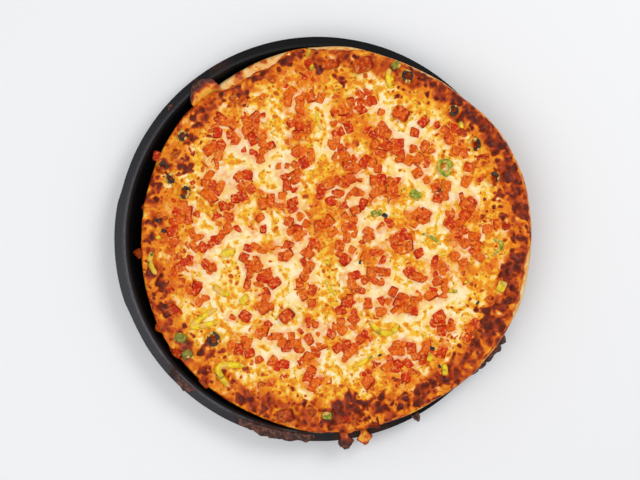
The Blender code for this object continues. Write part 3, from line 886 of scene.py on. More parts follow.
def signed_volume(mesh: bpy.types.Mesh) -> float:
    """Volume inside a closed mesh.

    Args:
        mesh: a closed mesh.

    Returns:
        The volume, less than 0 where its faces point inwards.
    """
    corners = np.empty(len(mesh.vertices) * 3)
    mesh.vertices.foreach_get("co", corners)
    mesh.calc_loop_triangles()
    rows = np.empty(len(mesh.loop_triangles) * 3, int)
    mesh.loop_triangles.foreach_get("vertices", rows)
    a, b, c = corners.reshape(-1, 3)[rows].reshape(-1, 3, 3).transpose(1, 0, 2)
    return float((a * np.cross(b, c)).sum()) / 6.0


def lathe_faces(rings: int, steps: int) -> list:
    """Faces between closed rings of points.

    Args:
        rings: how many rings there are, from the top's middle outwards and back underneath.
        steps: how many points each ring has.

    Returns:
        The quads, and a cap at each end.
    """
    ring, step = np.meshgrid(np.arange(rings - 1), np.arange(steps), indexing="ij")
    here, after = ring * steps + step, ring * steps + (step + 1) % steps
    quads = np.stack((here, here + steps, after + steps, after), -1).reshape(-1, 4).tolist()
    return quads + [list(range(steps)), list(range((rings - 1) * steps, rings * steps))[::-1]]


def tube_faces(rings: int, sides: int) -> list:
    """Quads of a tube with a flat cap at each end."""
    return [face[::-1] for face in lathe_faces(rings, sides)]


@dataclass(frozen=True)
class Pan:
    """The round black pan, with its push outward at the left of the rim."""

    sheet: float = 1.6 * MM
    depth: float = 31.0 * MM
    floor_radius: float = 164.0 * MM
    mouth_radius: float = 177.0 * MM
    rim_radius: float = 186.6 * MM
    corner: float = 5.0 * MM
    rim_drop: float = 0.6 * MM
    rim_curl: float = 3.2 * MM
    steps: int = 320
    dent: tuple[float, float] = (math.radians(165), math.radians(203))
    dent_push: float = 1.3 * MM
    # Where cheese left a film on the rim, in degrees
    film_angles: tuple = ((219, 231), (243, 292), (118, 130), (308, 335))

    def profile(self) -> np.ndarray:
        """The pan's section, from the floor's middle over the rim and back underneath.

        Returns:
            Radius and height of each point.
        """
        slope = (self.mouth_radius - self.floor_radius) / self.depth
        t, lip, rim_top = self.sheet, 1.3 * MM, self.depth - self.rim_drop
        points = [(r * MM, t) for r in (0.001, 40, 90, 130, 150)]
        points += self._bend(self.floor_radius - self.corner, t + self.corner, self.corner, -90, -18, 7)
        points += [(self.floor_radius + slope * z * MM, z * MM) for z in (9, 13, 17, 21, 25)]
        points += self._bend(self.mouth_radius + lip, self.depth - lip, lip, 165, 92, 5)
        points += [(r * MM, self.depth - self.rim_drop * (r - 178.6) / 7.0) for r in (180.5, 182.5, 184.3)]
        points += self._bend(self.rim_radius - lip, rim_top - lip, lip, 80, 0, 5)
        points += [(self.rim_radius, rim_top - self.rim_curl), (self.rim_radius - t, rim_top - self.rim_curl),
                   (self.rim_radius - t, rim_top - t), (self.mouth_radius + 1.4 * t, self.depth - t)]
        points += [(self.floor_radius + t + slope * z * MM, z * MM) for z in (24, 17, 10, 5)]
        points += self._bend(self.floor_radius - self.corner, self.corner, self.corner + t * 0.6, -25, -90, 6)
        points[-1] = (self.floor_radius - self.corner, 0.0)
        points += [(r * MM, 0.0) for r in (140, 70, 0.001)]
        return np.array(points)

    def _bend(self, x: float, z: float, radius: float, start: float, end: float, count: int) -> list[Place]:
        """Points on an arc, in degrees."""
        turns = np.radians(np.linspace(start, end, count))
        return [(x + radius * math.cos(a), z + radius * math.sin(a)) for a in turns]

    def build(self) -> None:
        """Make the pan."""
        profile = self.profile()
        turns = np.linspace(0, math.tau, self.steps, endpoint=False)
        radius, angle = np.meshgrid(profile[:, 0], turns, indexing="ij")
        height = np.repeat(profile[:, 1], self.steps).reshape(radius.shape)
        push = self.dent_push * smooth_step(self.dent[0], self.dent[0] + 0.1, angle)
        push = push * (1.0 - smooth_step(self.dent[1] - 0.1, self.dent[1], angle))
        dings = 0.25 * MM * SmoothNoise(5)(angle * 9.0, radius * 0.0, 1.0)
        out = smooth_step(self.mouth_radius, self.rim_radius, radius)
        moved = np.minimum(radius + (push + np.minimum(dings, 0.0)) * out, self.rim_radius + self.dent_push)
        wobble = 0.15 * MM * SmoothNoise(6)(angle * 6.0, radius * 0.0, 1.0) * out
        vertices = polar(moved, angle, np.clip(height - np.abs(wobble), 0.0, None)).reshape(-1, 3)
        upper = smooth_step(self.mouth_radius - 0.6 * MM, self.mouth_radius + 0.8 * MM, radius)
        upper = upper * (height > self.depth - 6 * MM)
        # Painted highlight: a grey line just outside the pan's inner lip.
        lip = np.exp(-((radius - self.mouth_radius - 1.2 * MM) / (1.1 * MM)) ** 2)
        # Painted light: the rim grows lighter towards the lower left, where the light falls; only the small
        # even share is wear.
        side = 0.5 - 0.5 * np.cos(angle - math.radians(25.0))
        scuff = upper * (0.01 + 0.43 * side ** 3.5 + 0.50 * lip * side ** 1.6)
        degrees = np.degrees(angle)
        film = sum(smooth_step(a - 4, a + 4, degrees) * (1 - smooth_step(b - 4, b + 4, degrees))
                   for a, b in self.film_angles)
        new_piece("pan_body", vertices, lathe_faces(len(profile), self.steps), PanFinish().build(), "pan",
                  ["pan"], in_pizza=False, scuff=scuff.ravel(), film=(film * upper).ravel())


@dataclass(frozen=True)
class Crust:
    """The bread: smooth where the pan moulded it, blistered and brown along its lip."""

    steps: int = 540
    moulded_height: float = 12.5 * MM
    # x, y and size of the bubbles in its lip, in mm
    bubbles: tuple = (
        (-79, 162, 5), (-67, 165, 4), (-89, 154, 6), (60, 165, 5), (168, -30, 5), (165, -52, 6),
        (112, -122, 6), (124, -108, 5), (98, -135, 4),
    )

    def profile(self) -> list[Place]:
        """The crust's section, from the middle of the top to the middle of the underside.

        Returns:
            Radius and height of each point; on the upper side the height is None.
        """
        slope = (Pan.mouth_radius - Pan.floor_radius) / Pan.depth
        top = [0.001, 0.4, 0.75, 0.885, 0.90, 0.915, 0.93, 0.94, 0.95, 0.96, 0.97, 0.978, 0.985, 0.991,
               0.996, 1.0]
        points = [(share * EDGE.radius, None) for share in top]
        shoulder = Pan.floor_radius + slope * self.moulded_height
        outer, lip = EDGE.radius, EDGE.lip_top - EDGE.edge_drop
        for t in np.linspace(0.15, 1.0, 7):
            points.append((outer + (shoulder - outer) * t ** 0.8, lip + (self.moulded_height - lip) * t))
        points += [(Pan.floor_radius + slope * z * MM, z * MM) for z in (10.5, 8.5, 6.5, 4.8)]
        points += [(Pan.floor_radius - 5.0 * MM * (1 - math.cos(a)), 3.0 * MM * (1 - math.sin(a)))
                   for a in np.linspace(0.0, math.pi / 2, 6)]
        return points + [(r * MM, 0.0) for r in (150, 120, 80, 40, 0.001)]

    def build(self) -> None:
        """Make the crust."""
        profile = self.profile()
        rough, fine = SmoothNoise(11), SmoothNoise(12)
        rings, baked = zip(*(self._ring(radius, height, rough, fine) for radius, height in profile))
        new_piece("crust_bread", np.concatenate(rings), lathe_faces(len(profile), self.steps),
                  BreadFinish().build(), "crust", ["crust"], baked=np.concatenate(baked))

    def _ring(self, radius: float, height: float | None, rough: SmoothNoise,
              fine: SmoothNoise) -> tuple[np.ndarray, np.ndarray]:
        """One ring of the bread.

        Args:
            radius: how far out it lies where the edge is even.
            height: how high it lies, or None on the upper side, which follows the outline's rules.
            rough: the field of its larger lumps.
            fine: the field of its smaller lumps.

        Returns:
            Its points, and how baked each of them is.
        """
        angle = np.linspace(-math.pi, math.pi, self.steps, endpoint=False)
        on_top = height is None
        if on_top:
            z = EDGE.bread_top(np.full(self.steps, radius / EDGE.radius), angle)
            grow = EDGE.edge(angle) / EDGE.radius
        else:
            z = np.full(self.steps, height)
            share = float(smooth_step(self.moulded_height, EDGE.lip_top - 4.0 * MM, height))
            grow = 1.0 + (EDGE.edge(angle) / EDGE.radius - 1.0) * share
        around = radius * grow
        x, y = around * np.cos(angle), around * np.sin(angle)
        if not on_top and height > 0.4 * MM:
            lumps = rough(angle * 22.0 + z * 300, z * 450, 1.0) + 0.5 * fine(angle * 60.0, z * 1100, 1.0)
            around = around + 0.22 * MM * (lumps - 1.4)
        lift, dark = np.zeros(self.steps), np.zeros(self.steps)
        for bx, by, size in self.bubbles:
            middle = REST.place(bx, by)
            off = 1.8 * MM * rough(x, y, 4 * MM)
            away = np.hypot(x + off - middle.x, y - off - middle.y) / (size * MM)
            dome = np.clip(1.0 - away ** 2, 0.0, 1.0)
            lift += dome * 0.9 * MM * on_top
            dark += np.sqrt(dome) * (0.5 + 0.3 * fine(x, y, 2.5 * MM)) * (1.0 if on_top else 0.3)
        if on_top and radius > 0.91 * EDGE.radius:
            lift += 0.35 * MM * rough(x, y, 6 * MM) + 0.15 * MM * fine(x, y, 2.5 * MM) - 0.5 * MM
            tone = 0.12 + 0.22 * rough(x, y, 9 * MM) + 0.15 * fine(x, y, 3 * MM)
            tone -= 0.25 * float(smooth_step(0.975, 1.0, radius / EDGE.radius))
        elif on_top:
            tone = np.zeros(self.steps)
        else:
            tone = 0.20 + 0.16 * rough(x * 2, y * 2 + z * 3, 12 * MM)
            tone += 0.22 * float(smooth_step(12 * MM, 2 * MM, height))
        return polar(around, angle, np.maximum(z + lift, 0.0)), tone + dark


# Toppings' places, in mm on the pizza, which the cheese needs too

# x, y and how many dice of the heap the solid has
HEAPS = (
    (-102, 102, 5), (-76, 108, 3), (-71, 87, 4), (-112, 81, 2), (-160, 76, 1), (-146, 80, 1),
    (-36, 130, 4), (-28, 110, 5), (-17, 128, 1), (-50, 156, 1), (25, 129, 2), (8, 114, 3),
    (47, 114, 1), (-4, 92, 3), (12, 74, 3), (40, 94, 4), (60, 82, 2), (33, 72, 1), (-34, 73, 3),
    (75, 106, 2), (77, 80, 4), (108, 97, 2), (110, 82, 1), (135, 77, 1), (117, 64, 2),
    (-116, 60, 1), (-84, 55, 2), (-114, 46, 2), (-93, 38, 1), (-100, 26, 2), (-140, 25, 2),
    (-99, 11, 1), (-69, 15, 2), (-60, 37, 1), (-149, 4, 2), (-124, -2, 2), (-106, 0, 2),
    (-76, -12, 4), (-72, -30, 3), (-142, -20, 3), (-113, -24, 1), (-123, -48, 3), (-76, -42, 3),
    (-97, -56, 1), (-44, 56, 2), (-44, 38, 2), (-34, 16, 4), (-23, -3, 1), (-47, -9, 2),
    (-5, 43, 4), (13, 57, 1), (45, 51, 3), (27, 40, 2), (60, 38, 1), (14, 23, 3), (12, 9, 2),
    (45, 18, 1), (30, 3, 1), (-10, 14, 1), (9, -7, 2), (38, -15, 2), (38, -31, 3), (18, -32, 1),
    (14, -46, 4), (-28, -20, 1), (-28, -42, 2), (-26, -55, 2), (-60, -35, 1), (56, -2, 3),
    (54, -52, 2), (79, 58, 2), (95, 46, 2), (77, 22, 2), (120, 29, 3), (109, 19, 2), (117, 4, 2),
    (74, -5, 3), (106, -9, 2), (127, -9, 1), (117, -20, 1), (95, -27, 2), (73, -33, 1),
    (95, -45, 2), (147, -26, 2), (72, -57, 1), (-101, -68, 3), (-83, -69, 1), (-62, -60, 1),
    (-130, -79, 1), (-86, -95, 3), (-60, -84, 3), (-132, -101, 2), (-80, -113, 3), (-118, -124, 2),
    (-46, -88, 2), (-21, -77, 1), (-26, -99, 4), (-20, -124, 2), (-53, -115, 1), (10, -63, 3),
    (3, -78, 3), (34, -64, 2), (65, -66, 2), (30, -91, 2), (53, -92, 3), (58, -108, 2),
    (38, -114, 1), (25, -122, 1), (60, -121, 2), (10, -101, 2), (101, -77, 3), (76, -100, 2),
    (97, -103, 1), (-26, -160, 2), (36, -166, 1),
)
# Name, half the width, and three places along it
PEPPERS = (
    ("pepper_ring_1", 3.0, (-109, -62), (-131, -78), (-107, -74)),
    ("pepper_ring_2", 3.2, (-83, -115), (-107, -116), (-97, -134)),
    ("pepper_strip_1", 2.4, (-167, -10), (-170, -20), (-164, -31)),
    ("pepper_strip_2", 2.6, (-112, -40), (-106, -47), (-98, -49)),
    ("pepper_strip_3", 1.8, (-18, 119), (-16, 109), (-12, 101)),
    ("pepper_strip_4", 2.6, (50, 157), (48, 149), (51, 139)),
    ("pepper_strip_5", 2.8, (31, -73), (45, -85), (58, -77)),
    ("pepper_strip_6", 1.5, (-9, -35), (-6, -43), (1, -50)),
    ("pepper_strip_7", 1.6, (34, -103), (26, -111), (17, -115)),
    ("green_strip_1", 1.9, (144, 1), (152, -4), (143, -14)),
    ("green_strip_2", 1.4, (79, 6), (88, 3), (96, -4)),
)
# Name, x, y, length, width, height, and how far it is turned, in degrees
CHUNKS = (
    ("tomato_1", 25, 160, 19, 14, 6, 20),
    ("tomato_2", 60, 116, 15, 12, 6, -25),
    ("tomato_3", -45, -69, 15, 12, 6, 40),
    ("tomato_4", -46, -160, 16, 12, 5, 10),
    ("tomato_5", -5, 161, 17, 9, 5, 5),
    ("pepper_piece_1", 152, -42, 11, 8, 4, 70),
    ("pepper_piece_2", -99, -11, 11, 8, 4, 15),
    ("pepper_piece_3", -84, -54, 10, 7, 4, 50),
    ("green_piece_1", 55, 160, 9, 7, 4, 30),
    ("green_piece_2", 73, 42, 11, 8, 4, -35),
    ("green_piece_3", 37, 25, 10, 6, 3, 10),
    ("green_piece_4", -142, -89, 12, 9, 4, -20),
    ("green_piece_5", -136, -104, 10, 8, 4, 25),
    ("green_piece_6", -8, -160, 9, 7, 4, 0),
)
# Name, x, y, width, thickness, and how far it is tipped, in degrees
SLICES = (
    ("olive_1", 66, 150, 13, 3.6, 24),
    ("olive_2", -138, 44, 13, 4.0, 12),
    ("olive_3", -151, 57, 11, 3.6, 10),
    ("olive_4", -158, 68, 11, 3.6, 14),
    ("olive_5", 128, 88, 13, 3.8, 16),
    ("olive_6", 145, 57, 12, 3.4, 10),
    ("olive_7", -112, -90, 15, 4.2, 12),
    ("olive_8", -140, 96, 12, 3.6, 12),
    ("olive_9", 108, 119, 11, 3.4, 14),
    ("green_slice_1", 100, 67, 17, 5.0, 8),
)
# How much of a slice the cheese covers, and from which side, in degrees
COVERED = {
    "olive_1": (0.35, 0), "olive_2": (0.4, 150), "olive_3": (0.5, 40), "olive_4": (0.5, 250),
    "olive_5": (0.62, 150), "olive_6": (0.62, 200), "olive_7": (0.35, 120), "olive_8": (0.45, 60),
    "olive_9": (0.5, 130), "green_slice_1": (0.2, 60),
}
# x, y and width of each crumb
BITS = {
    "olive": ((94, 46, 5), (22, -20, 4), (17, -40, 3), (45, 23, 5), (130, -57, 4), (88, -99, 5),
              (95, -115, 4), (12, -102, 4), (40, -105, 3), (-158, 9, 5), (-163, 18, 4), (72, 100, 4),
              (50, 47, 3)),
    "pepper": ((107, -46, 8), (100, -118, 10), (86, -107, 8), (-25, 171, 8), (-22, 158, 7), (115, 106, 7),
               (-163, 3, 6), (50, 147, 7), (-8, -20, 6), (120, -38, 6)),
}


def strip_path(points: Sequence[Place], count: int) -> np.ndarray:
    """Places along the bend through three places on the pizza.

    Args:
        points: the three places, in mm.
        count: how many places to give.

    Returns:
        The places, in metres.
    """
    first, middle, last = (np.array(REST.place(*point)) for point in points)
    bend = middle * 2.0 - (first + last) * 0.5
    t = np.linspace(0.0, 1.0, count)[:, None]
    return first * (1 - t) ** 2 + bend * 2 * t * (1 - t) + last * t * t


@dataclass
class Die:
    """One piece of diced tomato."""

    place: Vector
    size: Vector
    lean: Euler
    proud: float


def seats() -> list[Seat]:
    """Where the single toppings lie.

    Returns:
        x, y and reach of each.
    """
    found = []
    for _, half, *points in PEPPERS:
        path = strip_path(points, SEATS_ALONG_STRIP)
        found += [(x, y, half * MM) for x, y in path]
    for _, x, y, long, wide, _, _ in CHUNKS:
        found.append((*REST.place(x, y), 0.5 * math.hypot(long, wide) * MM))
    for _, x, y, across, _, _ in SLICES:
        found.append((*REST.place(x, y), 0.5 * across * MM))
    return found


def drawn_size(draw: random.Random, *spans: tuple[float, float]) -> Vector:
    """A length, width and height, each from its own span in mm."""
    return Vector([draw.uniform(*span) for span in spans]) * MM


def drawn_lean(draw: random.Random, tip: float, turn: float = math.pi) -> Euler:
    """A die tipped by up to tip both ways and turned by up to turn."""
    return Euler((draw.uniform(-tip, tip), draw.uniform(-tip, tip), draw.uniform(0.0, turn)))


def heap_dice(number: int, x: float, y: float, count: int) -> Iterator[Die]:
    """The dice of one heap.

    Args:
        number: which heap it is.
        x: its middle across, in mm.
        y: its middle up, in mm.
        count: how many dice it has.

    Returns:
        Each die, in the order that the solid takes them.
    """
    draw = random.Random(HEAP_SEED + number)
    middle = REST.place(x, y)
    turn = draw.uniform(0.0, math.tau)
    for index in range(count):
        reach = 0.0 if count == 1 else HEAP_SPACING * (0.62 if count < 4 else 0.85)
        around = turn + math.tau * index / count + draw.uniform(-0.4, 0.4)
        place = middle + Vector((math.cos(around), math.sin(around))) * reach * draw.uniform(0.8, 1.2)
        size = drawn_size(draw, (8.5, 12.5), (7.0, 10.0), (5.5, 7.5))
        yield Die(place, size, drawn_lean(draw, 0.2), 0.0)


@dataclass
class Cheese:
    """The cheese: one lumpy sheet that sinks under the toppings, climbs the dice and burns at the rim."""

    dice: list[Die]
    level: float = 22.2 * MM
    rings: int = 178
    thinnest: float = 1.3 * MM
    overlap: float = 0.020
    spilling: float = 258.0
    broadest: float = math.radians(-68.0)
    # Stretches that reach further out: middle and half length in degrees, and how much further
    reaching: tuple = ((315, 14, 0.034), (346, 12, 0.030))
    edge_start: float = 0.985
    edge_width: float = 0.015
    wall_stretch: float = 0.05
    foot_stretch: float = 1.09
    die_reach: float = 22.0 * MM
    crowd_width: float = 9.0 * MM
    # x, y and size of patches that are burnt, white or amber; the burnt ones also have a strength
    burnt: tuple = (
        (170, 28, 12, 0.9), (172, 6, 10, 0.7), (165, -12, 9, 0.6), (160, -27, 10, 0.8), (166, -52, 9, 0.7),
        (153, -60, 9, 0.6), (140, -76, 15, 0.9), (124, -96, 11, 0.7), (112, -106, 9, 0.6),
        (106, -122, 12, 0.8), (83, -142, 12, 0.8), (62, -146, 10, 0.5), (45, -153, 13, 0.8),
        (20, -152, 11, 0.6), (5, -158, 17, 0.9), (-30, -150, 7, 0.4), (-62, -152, 9, 0.5),
        (-85, -145, 10, 0.6), (-112, -103, 11, 0.7), (-120, -118, 8, 0.5), (-160, -42, 10, 0.6),
        (-158, -62, 9, 0.6), (-165, 45, 10, 0.6), (-172, 20, 10, 0.6), (-170, 0, 7, 0.4),
        (-135, 66, 9, 0.6), (-128, 95, 9, 0.6), (-125, 116, 10, 0.7), (-105, 128, 9, 0.6),
        (-85, 132, 10, 0.7), (-70, 150, 10, 0.7), (-45, 165, 9, 0.7), (4, 146, 8, 0.7), (-9, 143, 5, 0.5),
        (-20, 156, 8, 0.5), (-40, 171, 8, 0.7), (85, 152, 11, 0.7), (96, 137, 10, 0.6), (125, 122, 13, 0.8),
        (138, 107, 11, 0.8), (150, 88, 11, 0.7), (160, 65, 12, 0.9), (148, 40, 9, 0.6), (154, 20, 9, 0.6),
        (112, 130, 9, 0.6), (162, 44, 10, 0.7), (150, -90, 9, 0.6), (30, -148, 10, 0.6), (70, 158, 8, 0.5),
        (20, 168, 7, 0.5),
    )
    white: tuple = (
        (-85, 117, 14), (-84, 76, 11), (-118, 68, 11), (-95, 3, 9), (-120, 15, 11), (45, -38, 10),
        (-50, -37, 12), (-18, -28, 12), (-75, -105, 10), (-20, -142, 11), (157, 2, 6), (73, 55, 9),
        (20, 35, 8), (-62, 60, 12), (-12, 122, 8), (60, 62, 9), (110, 45, 9), (88, 8, 9), (30, -54, 8),
        (78, -70, 10), (85, -108, 9), (-112, -32, 10), (-88, -30, 6), (-140, -60, 9), (45, 140, 9),
        (90, 120, 9), (-40, -120, 11), (110, -55, 9),
    )
    amber: tuple = (
        (-15, 25, 20), (0, 62, 16), (-60, -5, 14), (25, -15, 12), (-30, 92, 14), (-10, -12, 14),
        (100, -15, 12), (132, -40, 14), (60, -140, 14), (-55, -140, 16), (-150, 35, 12), (-120, 30, 10),
        (60, 20, 12), (20, 100, 10), (-5, -95, 10), (-100, -130, 14), (110, 110, 16), (0, 140, 14),
        (-120, 105, 12), (130, 60, 12), (90, -95, 12),
    )

    def __post_init__(self) -> None:
        """Find the seats of the single toppings, and draw the fields of lumps."""
        self.seats = seats()
        self.olives = [(*REST.place(x, y), 0.36 * across * MM)
                       for name, x, y, across, _, _ in SLICES if "olive" in name]
        self.covers = [(*REST.place(x, y), across / 2 * MM, COVERED[name][0], math.radians(COVERED[name][1]))
                       for name, x, y, across, _, _ in SLICES if name in COVERED]
        self.noises = [SmoothNoise(seed) for seed in range(20, 28)]
        self.blisters = Blisters(31, 6.5 * MM, 0.75, 1.1 * MM, 3.0 * MM)
        self.lumps = Blisters(32, 9.0 * MM, 0.9, 3.0 * MM, 8.5 * MM)
        self.beads = Blisters(33, 5.5 * MM, 0.95, 1.8 * MM, 4.2 * MM)
        self.bubbles = Blisters(34, 12.0 * MM, 0.7, 3.0 * MM, 5.5 * MM)

    def near_dice(self, x: np.ndarray, y: np.ndarray) -> tuple[np.ndarray, np.ndarray]:
        """Measure how near the dice are.

        Args:
            x: places across.
            y: places up.

        Returns:
            Distance to the nearest die, less than 0 inside it, and how crowded the dice are.
        """
        nearest = np.full(x.shape, 100.0 * MM)
        crowd = np.zeros(x.shape)
        for die in self.dice:
            away = (np.abs(x - die.place.x) < self.die_reach) & (np.abs(y - die.place.y) < self.die_reach)
            dx, dy = x[away] - die.place.x, y[away] - die.place.y
            c, s = math.cos(die.lean.z), math.sin(die.lean.z)
            u = np.abs(c * dx + s * dy) - die.size.x / 2
            v = np.abs(-s * dx + c * dy) - die.size.y / 2
            gap = np.hypot(np.maximum(u, 0), np.maximum(v, 0)) + np.minimum(np.maximum(u, v), 0)
            nearest[away] = np.minimum(nearest[away], gap)
            crowd[away] += np.exp(-(np.hypot(dx, dy) / self.crowd_width) ** 2)
        return nearest, crowd

    def patches(self, x: np.ndarray, y: np.ndarray, places: Sequence[tuple]) -> np.ndarray:
        """Read some round soft patches.

        Args:
            x: places across.
            y: places up.
            places: x, y and size of each patch, and its strength.

        Returns:
            The strongest patch at each place.
        """
        found = np.zeros(x.shape)
        for px, py, size, *rest in places:
            middle = REST.place(px, py)
            strength = rest[0] if rest else 1.0
            away = np.hypot(x - middle.x, y - middle.y) / (size * MM)
            found = np.maximum(found, strength * np.exp(-away ** 2))
        return found

    def surface(self, x: np.ndarray, y: np.ndarray) -> dict[str, np.ndarray]:
        """Everything about the upper side.

        Args:
            x: places across, in the pizza's frame.
            y: places up.

        Returns:
            height, and the browning with painted shade in the creases round the dice, golden and oil that the
            finish reads.
        """
        n = self.noises
        radius, angle = np.hypot(x, y), np.arctan2(y, x)
        ratio = radius / EDGE.edge(angle)
        wx, wy = x + 1.6 * MM * n[6](x, y, 6 * MM), y + 1.6 * MM * n[7](x, y, 6 * MM)
        gap, crowd = self.near_dice(x, y)
        wide = 0.035 * (0.5 + 0.5 * np.cos(angle - self.broadest))
        rim = smooth_step(0.85, 0.92, ratio + wide + 0.03 * n[0](x, y, 24 * MM) + 0.02 * n[5](wx, wy, 9 * MM))
        lumps, blisters, beads = self.lumps(wx, wy), self.blisters(wx, wy), self.beads(wx, wy)
        small = n[3](wx, wy, 3.0 * MM)

        islands, amber = self.patches(wx, wy, self.white), self.patches(wx, wy, self.amber)
        region = 0.75 * (amber - islands) + 0.55 * n[1](wx, wy, 18 * MM)
        region = region + 0.35 * n[2](wx, wy, 8 * MM) + 0.22 * small
        warm = 0.66 * smooth_step(-0.35, 0.80, region)
        free = smooth_step(2.2 * MM, 5.5 * MM, gap)
        yolk = smooth_step(0.35, 0.80, free * (0.90 + 0.5 * n[2](wx, wy + 0.2, 7 * MM)))
        toast = smooth_step(0.68, 0.84, ratio + 0.05 * n[0](x, y, 30 * MM) + 0.5 * wide)
        golden = np.maximum(warm, 0.46 * yolk)
        golden = np.maximum(golden, toast * (0.50 + 0.35 * n[2](wx, wy, 9 * MM)))
        golden = np.maximum(golden, rim * (0.52 + 0.42 * n[2](wx, wy, 6 * MM)))
        white = smooth_step(0.35, 0.10, golden)

        charred = 1.2 * self.patches(x + 1.6 * (wx - x), y + 1.6 * (wy - y), self.burnt)
        charred = charred + 0.20 * rim + 0.40 * n[5](wx, wy, 7 * MM)
        charred = charred + 0.25 * small + 0.25 * (beads - 0.5) - 0.16
        charred = smooth_step(0.18, 0.62, charred) * smooth_step(0.70, 0.82, ratio)

        height = 0.6 * n[1](x, y, 19 * MM) + 0.4 * n[2](x, y, 8 * MM) + 0.2 * small + 0.6 * rim
        height += lumps * (0.5 * (1 - rim) + 0.5 * rim) + 1.2 * beads * rim + 0.5 * blisters * (1 - white)
        height += 0.5 * white + 0.5 * yolk + 0.4 * charred
        height += np.exp(-np.maximum(gap, 0.0) / (1.4 * MM)) * (0.5 + 0.9 * n[4](x, y, 7 * MM))
        level = self.level + height * MM
        for sx, sy, reach in self.seats:
            calm = 1.0 - smooth_step(reach + 0.5 * MM, reach + 4.0 * MM, np.hypot(x - sx, y - sy))
            level += (self.level + 0.5 * MM + 0.2 * MM * small - level) * calm
        for sx, sy, reach, amount, toward in self.covers:
            aside = ((x - sx) * math.cos(toward) + (y - sy) * math.sin(toward)) / reach
            near = 1.0 - smooth_step(reach - 1.0 * MM, reach + 2.5 * MM, np.hypot(x - sx, y - sy))
            over = smooth_step(0.9 - 1.8 * amount, 1.5 - 1.8 * amount, aside + 0.3 * small)
            level += 4.0 * MM * near * over
        level = np.minimum(np.maximum(level, EDGE.bread_top(ratio, angle) + self.thinnest), REST.ceiling(x))

        bubble = np.exp(-((self.bubbles(wx, wy) - 0.32) / 0.2) ** 2) * toast * smooth_step(0.35, 0.65, golden)
        spots = smooth_step(0.05, 0.6, blisters)
        burn_and_crease_shade = spots * (0.28 + 0.30 * n[4](x, y, 16 * MM) + 0.10 * yolk + 0.20 * toast)
        burn_and_crease_shade = burn_and_crease_shade * smooth_step(0.25, 0.50, golden)
        # Painted shade: a dark ring in the crease round each die, mixed into the browning.
        crease_shade_ring = np.exp(-((gap - 0.6 * MM) / (0.9 * MM)) ** 2)
        crease_shade_ring = crease_shade_ring * smooth_step(0.15, 0.6, n[3](wx + 0.4, wy, 4.5 * MM))
        burn_and_crease_shade = np.maximum(burn_and_crease_shade, 0.54 * crease_shade_ring * smooth_step(0.15, 0.4, golden + 0.3 * toast))
        crown = smooth_step(0.15, 0.75, beads)
        uneven = 0.5 + 0.5 * n[5](wx + 0.3, wy, 8 * MM)
        burn_and_crease_shade = np.maximum(burn_and_crease_shade, bubble * (0.30 + 0.30 * n[4](x, y, 9 * MM) + 0.15 * small))
        blotch = n[5](wx, wy + 0.4, 7.5 * MM) + 0.5 * n[6](wx, wy + 0.4, 3.6 * MM)
        burn_and_crease_shade = np.maximum(burn_and_crease_shade, rim * (0.27 + 0.36 * blotch + crown * (0.04 + 0.28 * uneven) + 0.12 * small))
        burn_and_crease_shade = np.maximum(burn_and_crease_shade, charred * (0.60 + 0.30 * beads + 0.18 * small))
        for sx, sy, reach in self.olives:
            burn_and_crease_shade = np.maximum(burn_and_crease_shade, 0.62 * np.exp(-(np.hypot(x - sx, y - sy) / reach) ** 2))
        oil = np.exp(-np.maximum(gap, 0.0) / (1.3 * MM)) * 0.9 + 0.5 * smooth_step(0.8, 1.7, crowd)
        oil = oil * (0.7 + 0.4 * n[4](wx, wy, 6 * MM)) * (0.4 + 0.6 * warm)
        oil = oil + rim * (0.30 + 0.35 * n[2](wx, wy + 0.1, 11 * MM))
        return {"height": level, "burn_and_crease_shade": burn_and_crease_shade, "golden": golden, "oil": oil}

    def build(self) -> None:
        """Make the cheese: an even net of triangles on top, a rounded edge and a closed underside."""
        share, angle, faces = even_disc(self.rings)
        ragged = 0.005 * SmoothNoise(41)(angle * 28.0, angle * 0.0, 1.0)
        ragged += 0.003 * SmoothNoise(42)(angle * 70.0, angle * 0.0, 1.0)
        below = smooth_step(0.0, 0.7, np.cos(angle - math.radians(self.spilling)))
        reach = EDGE.cheese(angle) + self.overlap + 0.010 * below
        for middle, half, more in self.reaching:
            reach += more * arc_share(np.degrees(angle), middle, half)
        reach = np.minimum(reach + ragged * smooth_step(0.8, 1.0, share), 0.998 + 0.005 * below)
        radius = share * reach * EDGE.edge(angle)
        x, y = radius * np.cos(angle), radius * np.sin(angle)
        found = self.surface(x, y)
        side, edge = share > self.edge_start, (share - self.edge_start) / self.edge_width
        unrolled = 1.0 + self.wall_stretch * edge[side]
        wall = self.surface(x[side] * unrolled, y[side] * unrolled)
        bottom = EDGE.bread_top(share * reach, angle) + 0.15 * MM
        round_edge = np.sqrt(np.clip(1.0 - edge.clip(0.0, 1.0) ** 2, 0.0, 1.0))
        height = bottom + (found["height"] - bottom) * np.where(side, 0.15 + 0.85 * round_edge, 1.0)
        count, first = 6 * self.rings, len(share) - 6 * self.rings
        edge_ratio, around = reach[first:], angle[first:]
        rings = [np.stack((x, y, height), -1)]
        for ratio in (edge_ratio, np.minimum(edge_ratio, EDGE.lip_ratio), np.full(count, EDGE.shelf_ratio)):
            rings.append(polar(ratio * EDGE.edge(around), around, EDGE.bread_top(ratio, around) + 0.10 * MM))
        vertices = np.concatenate(rings)
        for ring in range(3):
            start = first if ring == 0 else len(share) + (ring - 1) * count
            under = len(share) + ring * count
            for i in range(count):
                j = (i + 1) % count
                faces.append([start + j, start + i, under + i, under + j])
        faces.append([len(vertices) - 1 - i for i in range(count)])
        foot = self.surface(x[first:] * self.foot_stretch, y[first:] * self.foot_stretch)
        fields = {}
        for label in ("burn_and_crease_shade", "golden", "oil"):
            found[label][side] = wall[label]
